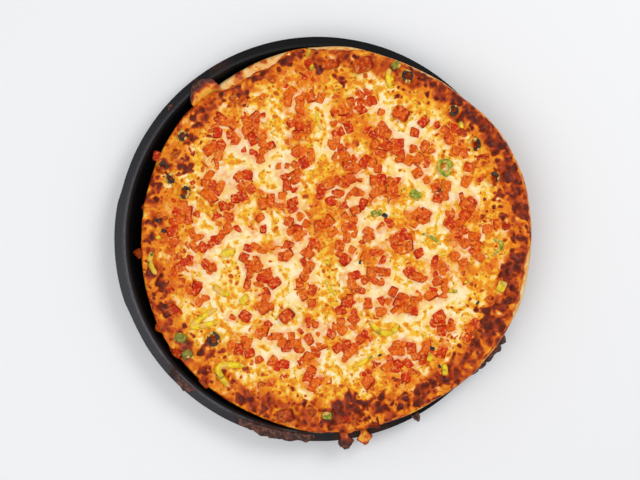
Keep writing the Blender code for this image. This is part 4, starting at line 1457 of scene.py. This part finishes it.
            fields[label] = np.concatenate([found[label], foot[label], np.zeros(2 * count)])
        new_piece("cheese_sheet", vertices, faces, CheeseFinish().build(), "cheese", ["cheese"], **fields)


def even_disc(rings: int) -> tuple[np.ndarray, np.ndarray, list]:
    """A round net of even triangles: ring k has 6k points.

    Args:
        rings: how many rings.

    Returns:
        Each point's share of the radius and its angle, and the triangles.
    """
    share, angle, faces = [0.0], [0.0], []
    for k in range(1, rings + 1):
        share += [k / rings] * (6 * k)
        turns = np.pi / 6 + np.arange(6 * k) * (math.tau / (6 * k))
        angle += ((turns + math.pi) % math.tau - math.pi).tolist()
    start = [0] + [1 + 3 * k * (k - 1) for k in range(1, rings + 1)]
    for k in range(1, rings + 1):
        inner, outer = start[k - 1], start[k]
        n_in, n_out = max(6 * (k - 1), 1), 6 * k
        for sector in range(6):
            for j in range(k):
                a = outer + (sector * k + j) % n_out
                b = outer + (sector * k + j + 1) % n_out
                c = inner + (sector * (k - 1) + j) % n_in
                faces.append([c, a, b])
                if j < k - 1:
                    d = inner + (sector * (k - 1) + j + 1) % n_in
                    faces.append([c, b, d])
    return np.array(share), np.array(angle), faces


# Pieces cut with a knife


class Cut(Enum):
    """How square a cut piece still is after baking: the power of its rounded block."""

    CRISP = 7.0
    SOFT = 4.2


class Block:
    """A cube cut into small faces, rounded towards a power, that every chopped piece starts from."""

    def __init__(self, cuts: int) -> None:
        """Make the plain block, 2 wide, and the weights of its eight corners.

        Args:
            cuts: how many cuts there are along an edge.
        """
        bm = bmesh.new()
        bmesh.ops.create_cube(bm, size=2.0)
        bmesh.ops.subdivide_edges(bm, edges=bm.edges[:], cuts=cuts, use_grid_fill=True)
        self.points = np.array([v.co for v in bm.verts])
        self.faces = [[v.index for v in f.verts] for f in bm.faces]
        bm.free()
        corners = np.array([(x, y, z) for x in (-1, 1) for y in (-1, 1) for z in (-1, 1)])
        self.weights = np.prod((1 + self.points[:, None, :] * corners[None]) / 2, axis=2)

    def shape(self, size: Vector, cut: Cut, draw: random.Random, uneven: float) -> np.ndarray:
        """One chopped piece round the origin.

        Args:
            size: its length, width and height.
            cut: how square it is.
            draw: where its unevenness comes from.
            uneven: how far a corner may move, as a share of the size.

        Returns:
            The points.
        """
        power = cut.value
        length = (np.abs(self.points) ** power).sum(axis=1) ** (1 / power)
        rounded = self.points / length[:, None]
        moved = np.array([[draw.uniform(-uneven, uneven) for _ in range(3)] for _ in range(8)])
        rounded = rounded + self.weights @ moved
        rounded[:, :2] *= (1.0 - 0.06 * (rounded[:, 2:] + 1.0) / 2.0)
        return rounded * np.array(size) / 2.0


def swell(points: np.ndarray, unit: np.ndarray, bumps: np.ndarray) -> np.ndarray:
    """Move points outwards by their bumps, where unit says where on the plain block they lie."""
    return points + (unit / np.linalg.norm(unit, axis=1)[:, None]) * bumps[:, None]


def dress(name: str) -> tuple[bpy.types.Material, str]:
    """Finish and slot of a topping, by the first word of its name."""
    kind = name.split("_")[0]
    return MATERIALS[kind], SLOTS[kind]


@dataclass
class Dice:
    """All the diced tomato, one piece: those of the heaps, a few strays, and some that hang at the edge."""

    cuts: int = 4
    uneven: float = 0.20
    seed: int = 77
    strays: int = 18
    stray_gap: float = 7.5 * MM
    stray_area: float = 0.78
    filling: tuple[float, float] = (2.0, 1.6)
    spacing: float = 5.3 * MM
    spread: float = 4.2 * MM
    spiral_turn: float = 2.4
    inside: float = 0.925
    spill: tuple = ((-8 * MM, 38 * MM), -148 * MM)
    # x, y and height of the dice that hang at the pizza's edge, in mm
    edge: tuple = (
        (-165, 77, 24.0), (-181, -12, 25.5), (-162, -80, 24.0), (-145, -103, 26.5), (-150, -97, 22.0),
        (-175, 30, 20.0),
    )
    # x, y and size of heaps near the rim that the solid leaves out
    rim_heaps: tuple = (
        (-150, 62, 1), (-158, 40, 1), (-150, 22, 1), (-152, -36, 2), (-146, -60, 1), (-128, -108, 2),
        (-104, -134, 1), (-74, -140, 1), (14, -164, 2), (60, -148, 1), (100, -128, 1), (128, -84, 2),
        (150, 8, 2), (166, 40, 2), (140, 92, 1), (60, 140, 1), (-20, 156, 4), (-48, 148, 2), (-90, 130, 1),
    )

    def __post_init__(self) -> None:
        """Draw every die's place, size and lean."""
        draw = random.Random(self.seed)
        places = seats()
        self.dice: list[Die] = []
        for number, (x, y, count) in enumerate(HEAPS):
            for die in heap_dice(number, x, y, count):
                if self._clear(die, places):
                    die.proud = draw.uniform(1.0, 2.4) * MM
                    self.dice.append(die)
        for x, y, count in HEAPS + self.rim_heaps:
            self._fill(draw, REST.place(x, y), round(self.filling[0] * count + self.filling[1]), places)
        whole = len(self.dice) + self.strays
        while len(self.dice) < whole:
            turn, far = draw.uniform(0, math.tau), math.sqrt(draw.uniform(0.0, self.stray_area)) * EDGE.radius
            size = drawn_size(draw, (5.0, 9.0), (4.0, 7.5), (4.5, 6.0))
            lean = drawn_lean(draw, 0.25)
            place = Vector((far * math.cos(turn), far * math.sin(turn)))
            die = Die(place, size, lean, draw.uniform(0.6, 1.6) * MM)
            self._add(die, places, self.stray_gap)

    def _add(self, die: Die, places: list[Seat], gap: float) -> None:
        """Keep a die where it leaves the toppings free and no other die's middle is nearer than gap."""
        if self._clear(die, places) and all((die.place - other.place).length > gap for other in self.dice):
            self.dice.append(die)

    def _fill(self, draw: random.Random, middle: Vector, count: int, places: list[Seat]) -> None:
        """Crowd more dice round a heap's middle, from the inside out, wherever one still fits.

        Args:
            draw: where their chance comes from.
            middle: the heap's middle.
            count: how many to try.
            places: the single toppings.
        """
        turn = draw.uniform(0.0, math.tau)
        for index in range(count):
            away, around = self.spread * math.sqrt(index + 0.5), turn + self.spiral_turn * index
            place = middle + Vector((math.cos(around), math.sin(around))) * away
            place += Vector((draw.uniform(-1.2, 1.2), draw.uniform(-1.2, 1.2))) * MM
            size = drawn_size(draw, (9.0, 14.0), (7.5, 11.0), (5.0, 7.0))
            lean = drawn_lean(draw, 0.25)
            die = Die(place, size, lean, draw.uniform(0.3, 2.2) * MM)
            (left, right), top = self.spill
            if place.length <= self.inside * EDGE.radius or (place.y < top and left < place.x < right):
                self._add(die, places, self.spacing)

    @staticmethod
    def _clear(die: Die, places: list[Seat]) -> bool:
        """True where a die leaves the single toppings free."""
        reach = 0.5 * math.hypot(die.size.x, die.size.y) + 1.0 * MM
        return all(math.hypot(die.place.x - x, die.place.y - y) > reach + r for x, y, r in places)

    def build(self, cheese: Cheese) -> None:
        """Make the dice and sink them in the cheese.

        Args:
            cheese: the cheese that they lie in.
        """
        draw = random.Random(self.seed + 1)
        block, rough = Block(self.cuts), SmoothNoise(51)
        middles = np.array([die.place for die in self.dice])
        tops = cheese.surface(middles[:, 0], middles[:, 1])["height"]
        dice = []
        for die, top in zip(self.dice, tops):
            sunk = 0.7 * float(smooth_step(0.8, 0.9, die.place.length / EDGE.radius))
            dice.append((die, top + die.proud * (1.0 - sunk)))
        for x, y, z in self.edge:
            size = drawn_size(draw, (8, 10), (7, 9), (5, 6))
            dice.append((Die(REST.place(x, y), size, drawn_lean(draw, 0.4, 3.0), 0.0), z * MM))
        points, faces, tones, skins, roasts = [], [], [], [], []
        for die, top in dice:
            cut = draw.choice((Cut.CRISP, Cut.CRISP, Cut.SOFT))
            near_rim = float(smooth_step(0.80, 0.93, die.place.length / EDGE.radius))
            local = block.shape(die.size, cut, draw, self.uneven)
            unit = local / np.array(die.size) * 2.0
            turned = local @ np.array(die.lean.to_matrix()).T
            turned += (die.place.x, die.place.y, top - turned[:, 2].max())
            bumps = rough(turned[:, 0] + turned[:, 2], turned[:, 1] - turned[:, 2], 2.6 * MM)
            turned = swell(turned, unit, bumps * (0.35 + 0.45 * near_rim) * MM)
            turned[:, 2] = np.minimum(turned[:, 2], REST.ceiling(turned[:, 0]))
            faces += [[i + len(points) * len(unit) for i in face] for face in block.faces]
            points.append(turned)
            tone = min(max(draw.gauss(0.45, 0.5), 0.0), 1.0)
            side = draw.choice((0, 1))
            sign = draw.choice((-1, 1))
            skin = smooth_step(0.55, 0.9, unit[:, side] * sign) * draw.choice((0.0, 0.7, 1.0))
            roast = draw.uniform(0.2, 0.8) * near_rim
            middle = smooth_step(0.9, 0.2, np.hypot(unit[:, 0] - 0.2, unit[:, 1])) * (unit[:, 2] > 0)
            roast = roast + middle * (0.5 + 0.5 * bumps) * draw.choice((0.0, 0.0, 0.0, 0.15, 0.5))
            edge = smooth_step(0.78, 1.05, np.abs(unit[:, draw.choice((0, 1))]))
            edge = edge * draw.choice((0.0, 0.0, 0.15, 0.4))
            tones.append(tone + 0.5 * bumps)
            skins.append(skin)
            roasts.append(roast + edge)
        new_piece("tomato_dice", np.concatenate(points), faces, MATERIALS["tomato"], "tomato", ["cheese"],
                  tone=np.concatenate(tones), skin=np.concatenate(skins), roast=np.concatenate(roasts))


@dataclass(frozen=True)
class Chunks:
    """The single chunks as large as berries: tomato, banana pepper and green pepper."""

    cuts: int = 7
    uneven: float = 0.10

    def build(self) -> None:
        """Make each chunk where its solid lies."""
        block, rough = Block(self.cuts), SmoothNoise(61)
        for number, (name, x, y, long, wide, high, turn) in enumerate(CHUNKS):
            draw = random.Random(number)
            size = Vector((long, wide, high)) * MM
            points = block.shape(size, Cut.SOFT, draw, self.uneven)
            unit = points / np.array(size) * 2.0
            bumps = rough(points[:, 0] * 1.3 + number, points[:, 1] * 1.3 + points[:, 2], 3.0 * MM)
            points = swell(points, unit, bumps * 0.35 * MM)
            points = points @ np.array(Matrix.Rotation(math.radians(turn), 3, "Z")).T
            place = REST.place(x, y)
            points += np.array((place.x, place.y, REST.node_height(name)))
            ratio = place.length / EDGE.radius
            fields = {"roast": 0.55 * float(smooth_step(0.8, 1.0, ratio)) + 0.35 * np.clip(bumps, 0, 1)}
            if name.startswith("tomato"):
                fields |= {"tone": 0.55 + 0.3 * bumps, "skin": smooth_step(0.5, 0.9, unit[:, 0])}
            else:
                fields["smear"] = 0.7 * smooth_step(0.0, 0.7, bumps + 0.7 * np.abs(unit[:, 1]) ** 3 - 0.2)
            new_piece(f"{name}_chunk", points, block.faces, *dress(name), [name], **fields)


@dataclass(frozen=True)
class Strips:
    """Rings and strips of pepper: a flattened rod along an arc, thinner towards both ends."""

    rings: int = 34
    sides: int = 14

    def build(self) -> None:
        """Make each strip where its solid lies."""
        for number, (name, half, *points) in enumerate(PEPPERS):
            path = strip_path(points, self.rings)
            vertices, along, across = self.sweep(path, half * MM, REST.node_height(name), number)
            x, y = vertices[:, 0], vertices[:, 1]
            roast = 0.12 * SmoothNoise(70 + number)(x, y, 4 * MM)
            roast += 0.35 * smooth_step(0.82, 1.0, np.hypot(x, y) / EDGE.radius) + 0.10 * along
            roast += 0.55 * smooth_step(0.35, 0.8, SmoothNoise(120 + number)(x, y, 3.5 * MM))
            smear = 0.75 * smooth_step(-0.1, 0.5, SmoothNoise(100 + number)(x, y, 6 * MM))
            new_piece(f"{name}_skin", vertices, tube_faces(len(path), self.sides), *dress(name), [name],
                      roast=roast, smear=smear + 0.25 * np.abs(across) ** 3)

    def sweep(self, path: np.ndarray, half: float, height: float,
              seed: int) -> tuple[np.ndarray, np.ndarray, np.ndarray]:
        """Carry an uneven flattened ring along a path.

        Args:
            path: places along the strip.
            half: half of its width.
            height: height of its middle.
            seed: which unevenness it has.

        Returns:
            The points, and for each how near it is to an end and its side.
        """
        step = np.gradient(path, axis=0)
        step /= np.linalg.norm(step, axis=1)[:, None]
        side = np.stack((-step[:, 1], step[:, 0]), -1)
        t = np.linspace(-1.0, 1.0, len(path))
        thick = np.sqrt(np.clip(1.0 - np.abs(t) ** 7, 0.03, 1.0))
        thick = thick * (1.0 + 0.10 * SmoothNoise(90 + seed)(t * 4, t * 0, 1.0))
        turns = np.linspace(0.0, math.tau, self.sides, endpoint=False)
        wide = np.cos(turns)[None, :] * thick[:, None] * half
        tall = np.sin(turns)[None, :] * thick[:, None] * half * 0.75
        tall = np.where(np.sin(turns) > 0, tall * (1.0 - 0.25 * np.cos(turns) ** 6), tall)
        vertices = np.empty((len(path), self.sides, 3))
        vertices[:, :, :2] = path[:, None, :] + side[:, None, :] * wide[:, :, None]
        vertices[:, :, 2] = height + tall
        ends = np.repeat(np.abs(t) ** 6, self.sides)
        return vertices.reshape(-1, 3), ends, np.tile(np.cos(turns), len(path))


@dataclass(frozen=True)
class Slices:
    """Slices of black olive and one of green chilli: fat rings with a flat cut top, tipped as they fell."""

    steps: int = 40
    sides: int = 16
    smeared: float = 0.7
    oval: float = 0.82

    def build(self) -> None:
        """Make each slice where its solid lies."""
        around = np.linspace(0.0, math.tau, self.steps, endpoint=False)
        turns = np.linspace(0.0, math.tau, self.sides, endpoint=False)
        for number, (name, x, y, across, thick, tilt) in enumerate(SLICES):
            tube = thick * MM / 2
            middle = across * MM / 2 - tube
            field = SmoothNoise(110 + number)
            uneven = 1.0 + 0.16 * field(np.cos(around) * 1.4, np.sin(around) * 1.4, 1.0)
            fat = 0.85 + 0.3 * field(np.cos(around) * 1.1 + 5.0, np.sin(around) * 1.1, 1.0)
            blunt = np.sign(np.cos(turns)) * np.abs(np.cos(turns)) ** 0.8
            radius = middle * uneven[:, None] + fat[:, None] * tube * blunt
            height = fat[:, None] * (tube * 0.96 * np.sin(turns))[None, :]
            points = polar(radius, around[:, None], height).reshape(-1, 3) * (1.0, self.oval, 1.0)
            turn = Matrix.Rotation(math.radians(7 * across), 3, "Z")
            points = points @ np.array(Matrix.Rotation(math.radians(tilt), 3, "X") @ turn).T
            place = REST.place(x, y)
            points += np.array((place.x, place.y, REST.node_height(name)))
            step, side = np.meshgrid(np.arange(self.steps), np.arange(self.sides), indexing="ij")
            after, over = (step + 1) % self.steps, (side + 1) % self.sides
            quads = np.stack((step * self.sides + side, after * self.sides + side, after * self.sides + over,
                              step * self.sides + over), -1).reshape(-1, 4).tolist()
            roast = 0.1 * SmoothNoise(130 + number)(points[:, 0], points[:, 1], 3 * MM)
            smear = self.smeared * smooth_step(-0.1, 0.4, field(points[:, 0], points[:, 1], 4 * MM))
            new_piece(f"{name}_ring", points, quads, *dress(name), [name], roast=roast, smear=smear)


@dataclass(frozen=True)
class Bits:
    """Crumbs of olive and pepper, too small for solids of their own."""

    cuts: int = 3
    uneven: float = 0.28

    def build(self, cheese: Cheese) -> None:
        """Make one piece of each kind, half sunk in the cheese.

        Args:
            cheese: the cheese that they lie in.
        """
        block = Block(self.cuts)
        for kind, places in BITS.items():
            draw = random.Random(kind)
            middles = np.array([REST.place(x, y) for x, y, _ in places])
            tops = cheese.surface(middles[:, 0], middles[:, 1])["height"]
            points, faces = [], []
            for middle, top, (_, _, across) in zip(middles, tops, places):
                size = Vector((across, across * draw.uniform(0.45, 0.75), across * 0.4)) * MM
                local = block.shape(size, Cut.SOFT, draw, self.uneven)
                lean = Euler((draw.uniform(-0.3, 0.3), 0.0, draw.uniform(0.0, math.pi)))
                local = local @ np.array(lean.to_matrix()).T
                faces += [[i + len(points) * len(local) for i in face] for face in block.faces]
                points.append(local + np.array((*middle, top + 0.1 * size.z)))
            vertices = np.concatenate(points)
            roast = 0.3 + 0.4 * SmoothNoise(140)(vertices[:, 0], vertices[:, 1], 2 * MM)
            new_piece(f"{kind}_bits", vertices, faces, *dress(kind), ["cheese"], roast=roast)


@dataclass(frozen=True)
class Crisp:
    """One flake of burnt cheese on the rim: angles in degrees round the pan, radii and sizes in mm."""

    name: str
    start: float
    end: float
    inner: float
    outer_start: float
    outer_end: float
    thick: float
    scallop: float
    lumps: int
    fresh: tuple[float, float] = (0.0, 0.0)
    club: bool = False
    fullness: float = 1.0

    def build(self) -> None:
        """Make the flake as a lumpy bent slab."""
        along, across = max(14, round((self.end - self.start) * 5)), 16
        u, v = np.meshgrid(np.linspace(0, 1, along), np.linspace(0, 1, across), indexing="ij")
        first, last = math.radians(self.start), math.radians(self.end)
        middle, half = (first + last) / 2, (last - first) / 2
        torn = SmoothNoise(int(self.end))(v * 3.0 + u, u * 0.0, 1.0)
        narrow = 1.0 - (0.30 * v ** 2 - 0.10 * torn) * min(1.0, 0.06 / half)
        if self.club:
            narrow = 0.55 + 0.50 * smooth_step(0.25, 0.7, v) - 0.35 * smooth_step(0.75, 1.0, v) + 0.12 * torn
        angle = middle + half * (2.0 * u - 1.0) * narrow
        taper = np.sin(math.pi * np.clip(u, 0.12, 0.88)) ** self.fullness
        ragged = SmoothNoise(int(self.start))(angle * 60.0, v * 3.0, 1.0)
        wander = self.lumps * (u + 0.045 * SmoothNoise(int(self.end) + 7)(u * 9.0, v * 1.5, 1.0))
        uneven = 0.75 + 0.45 * SmoothNoise(int(self.start) + 9)(u * 7.0, v * 0.0, 1.0)
        bulge = (self.scallop * uneven * np.abs(np.sin(math.pi * wander)) ** 0.7 + 0.7 * ragged) * v
        outer = self.outer_start + (self.outer_end - self.outer_start) * u
        radius = (self.inner + (outer - self.inner) * v * (0.55 + 0.45 * taper) + bulge) * MM
        rim = Pan.mouth_radius + Pan.sheet
        base = Pan.depth - Pan.rim_drop * (radius - rim) / (Pan.rim_radius - 2 * Pan.sheet - Pan.mouth_radius)
        base += 0.35 * MM - 0.06 * np.maximum(0.0, radius - Pan.rim_radius)
        base -= 0.40 * np.maximum(0.0, Pan.mouth_radius - radius)
        x, y = radius * np.cos(angle), radius * np.sin(angle)
        lumps = Blisters(int(self.start) + 200, 5.0 * MM, 0.95, 2.0 * MM, 4.5 * MM)(x, y)
        valley = np.abs(np.sin(math.pi * wander)) ** 0.5 if self.lumps > 2 else 1.0
        dome = np.sqrt(np.clip(1 - np.abs(2 * u - 1) ** 6, 0.02, 1))
        dome = dome * np.sqrt(np.clip(1 - np.abs(2 * v - 1) ** 5, 0.02, 1))
        wrinkles = SmoothNoise(160)(x, y, 2.4 * MM)
        top = base + self.thick * MM * dome * (0.35 + 0.25 * valley + 0.55 * lumps + 0.12 * wrinkles)
        vertices = np.concatenate([np.stack((x, y, z), -1).reshape(-1, 3) for z in (base, top)])
        i, j = np.meshgrid(np.arange(along - 1), np.arange(across - 1), indexing="ij")
        a = i * across + j
        up = np.stack((a, a + across, a + across + 1, a + 1), -1).reshape(-1, 4) + along * across
        down = np.stack((a, a + 1, a + across + 1, a + across), -1).reshape(-1, 4)
        rim_loop = [k * across for k in range(along)] + [(along - 1) * across + k for k in range(1, across)]
        rim_loop += [k * across + across - 1 for k in range(along - 2, -1, -1)]
        rim_loop += list(range(across - 2, 0, -1))
        n = along * across
        walls = [[p, q, q + n, p + n] for p, q in zip(rim_loop, rim_loop[1:] + rim_loop[:1])]
        patches = SmoothNoise(150)(x, y, 3.5 * MM)
        border = smooth_step(0.55, 1.0, np.maximum(np.abs(2 * u - 1), v))
        fresh = self.fresh[0] + (self.fresh[1] - self.fresh[0]) * smooth_step(0.25, 0.75, v + 0.15 * patches)
        fresh = fresh * (1.0 - 0.5 * border + 0.30 * wrinkles + 0.30 * patches)
        new_piece(f"{self.name}_flake", vertices, up.tolist() + down.tolist() + walls, MATERIALS["burnt"],
                  "burnt_cheese", [self.name], in_pizza=False, fresh=np.tile(fresh.ravel(), 2))


CRISPS = (
    Crisp("crisp_lobe", 123, 133, 167.0, 183.5, 181.0, 2.6, 2.0, 2, (1.0, 0.15)),
    Crisp("crisp_crumb_1", 137, 139.4, 180.6, 184.2, 184.2, 2.6, 1.0, 1),
    Crisp("crisp_film", 224, 231, 179.0, 186.5, 187.0, 1.2, 1.0, 2),
    Crisp("crisp_skirt", 246, 269, 179.5, 186.5, 188.0, 1.6, 2.4, 5),
    Crisp("crisp_drip", 275.5, 280, 178.8, 195.6, 193.8, 2.3, 1.0, 2, (0.6, 0.12), True, 0.35),
    Crisp("crisp_blob", 281.2, 285.4, 180.0, 193.5, 193.0, 3.4, 2.0, 1, (0.85, 0.8), True, 0.35),
    Crisp("crisp_crumb_2", 297.7, 300.2, 183.5, 191.5, 191.5, 3.2, 1.8, 1),
    Crisp("crisp_strip", 317, 333.5, 181.0, 189.5, 197.0, 2.8, 3.6, 5, fullness=0.35),
)
SLOTS = {"tomato": "tomato", "pepper": "banana_pepper", "green": "green_pepper", "olive": "olive"}
MATERIALS: dict[str, bpy.types.Material] = {}


@dataclass(frozen=True)
class Studio:
    """The camera straight above, a pale floor and two softboxes."""

    camera_place: tuple[float, float, float] = (1.84 * MM, -0.92 * MM, 1.3)
    lens: float = 77.5
    sensor: float = 36.0
    floor_colour: str = "f1f2f4"
    # Place, width and power of each
    softboxes: tuple = (
        ((0.80, 0.60, 1.40), 0.8, 8.8),
        ((-0.60, -0.30, 1.45), 1.3, 8.0),
    )
    sky: float = 0.54

    def build(self) -> None:
        """Make the camera, the floor and the lights."""
        camera = bpy.data.cameras.new("camera")
        camera.lens = self.lens
        camera.sensor_width = self.sensor
        stand = bpy.data.objects.new("camera", camera)
        stand.location = self.camera_place
        bpy.context.scene.collection.objects.link(stand)
        bpy.context.scene.camera = stand
        bpy.ops.mesh.primitive_plane_add(size=6.0)
        floor = bpy.context.object
        floor.name = "floor"
        s = Shader("floor pale")
        s.put("Base Color", linear(self.floor_colour))
        s.put("Roughness", 0.7)
        floor.data.materials.append(s.material)
        for number, (place, size, power) in enumerate(self.softboxes):
            lamp = bpy.data.lights.new(f"softbox_{number}", "AREA")
            lamp.shape = "DISK"
            lamp.size = size
            lamp.energy = power
            holder = bpy.data.objects.new(f"softbox_{number}", lamp)
            holder.location = place
            holder.rotation_euler = Vector(place).to_track_quat("Z", "Y").to_euler()
            bpy.context.scene.collection.objects.link(holder)
        world = bpy.data.worlds.new("room")
        world.use_nodes = True
        world.node_tree.nodes["Background"].inputs["Color"].default_value = (1.0, 1.0, 1.0, 1.0)
        world.node_tree.nodes["Background"].inputs["Strength"].default_value = self.sky
        bpy.context.scene.world = world
        bpy.context.scene.view_settings.view_transform = "Standard"


def main() -> None:
    """Build every piece in order."""
    logging.basicConfig(level=logging.INFO, format="%(message)s")
    MATERIALS["tomato"] = TomatoFinish().build()
    MATERIALS["pepper"] = VegetableFinish("banana pepper", "f7d626", "dfb80e", 4 * MM).build()
    MATERIALS["green"] = VegetableFinish("green pepper", "a9b22a", "77801e", 3 * MM).build()
    MATERIALS["olive"] = VegetableFinish("olive", "211c20", "43392c", 3 * MM, 0.15, 0.4, "17120f").build()
    MATERIALS["burnt"] = BurntFinish().build()
    Studio().build()
    Pan().build()
    Crust().build()
    dice = Dice()
    cheese = Cheese(dice.dice)
    cheese.build()
    dice.build(cheese)
    Chunks().build()
    Strips().build()
    Slices().build()
    Bits().build(cheese)
    for crisp in CRISPS:
        crisp.build()


if __name__ == "__main__":
    main()
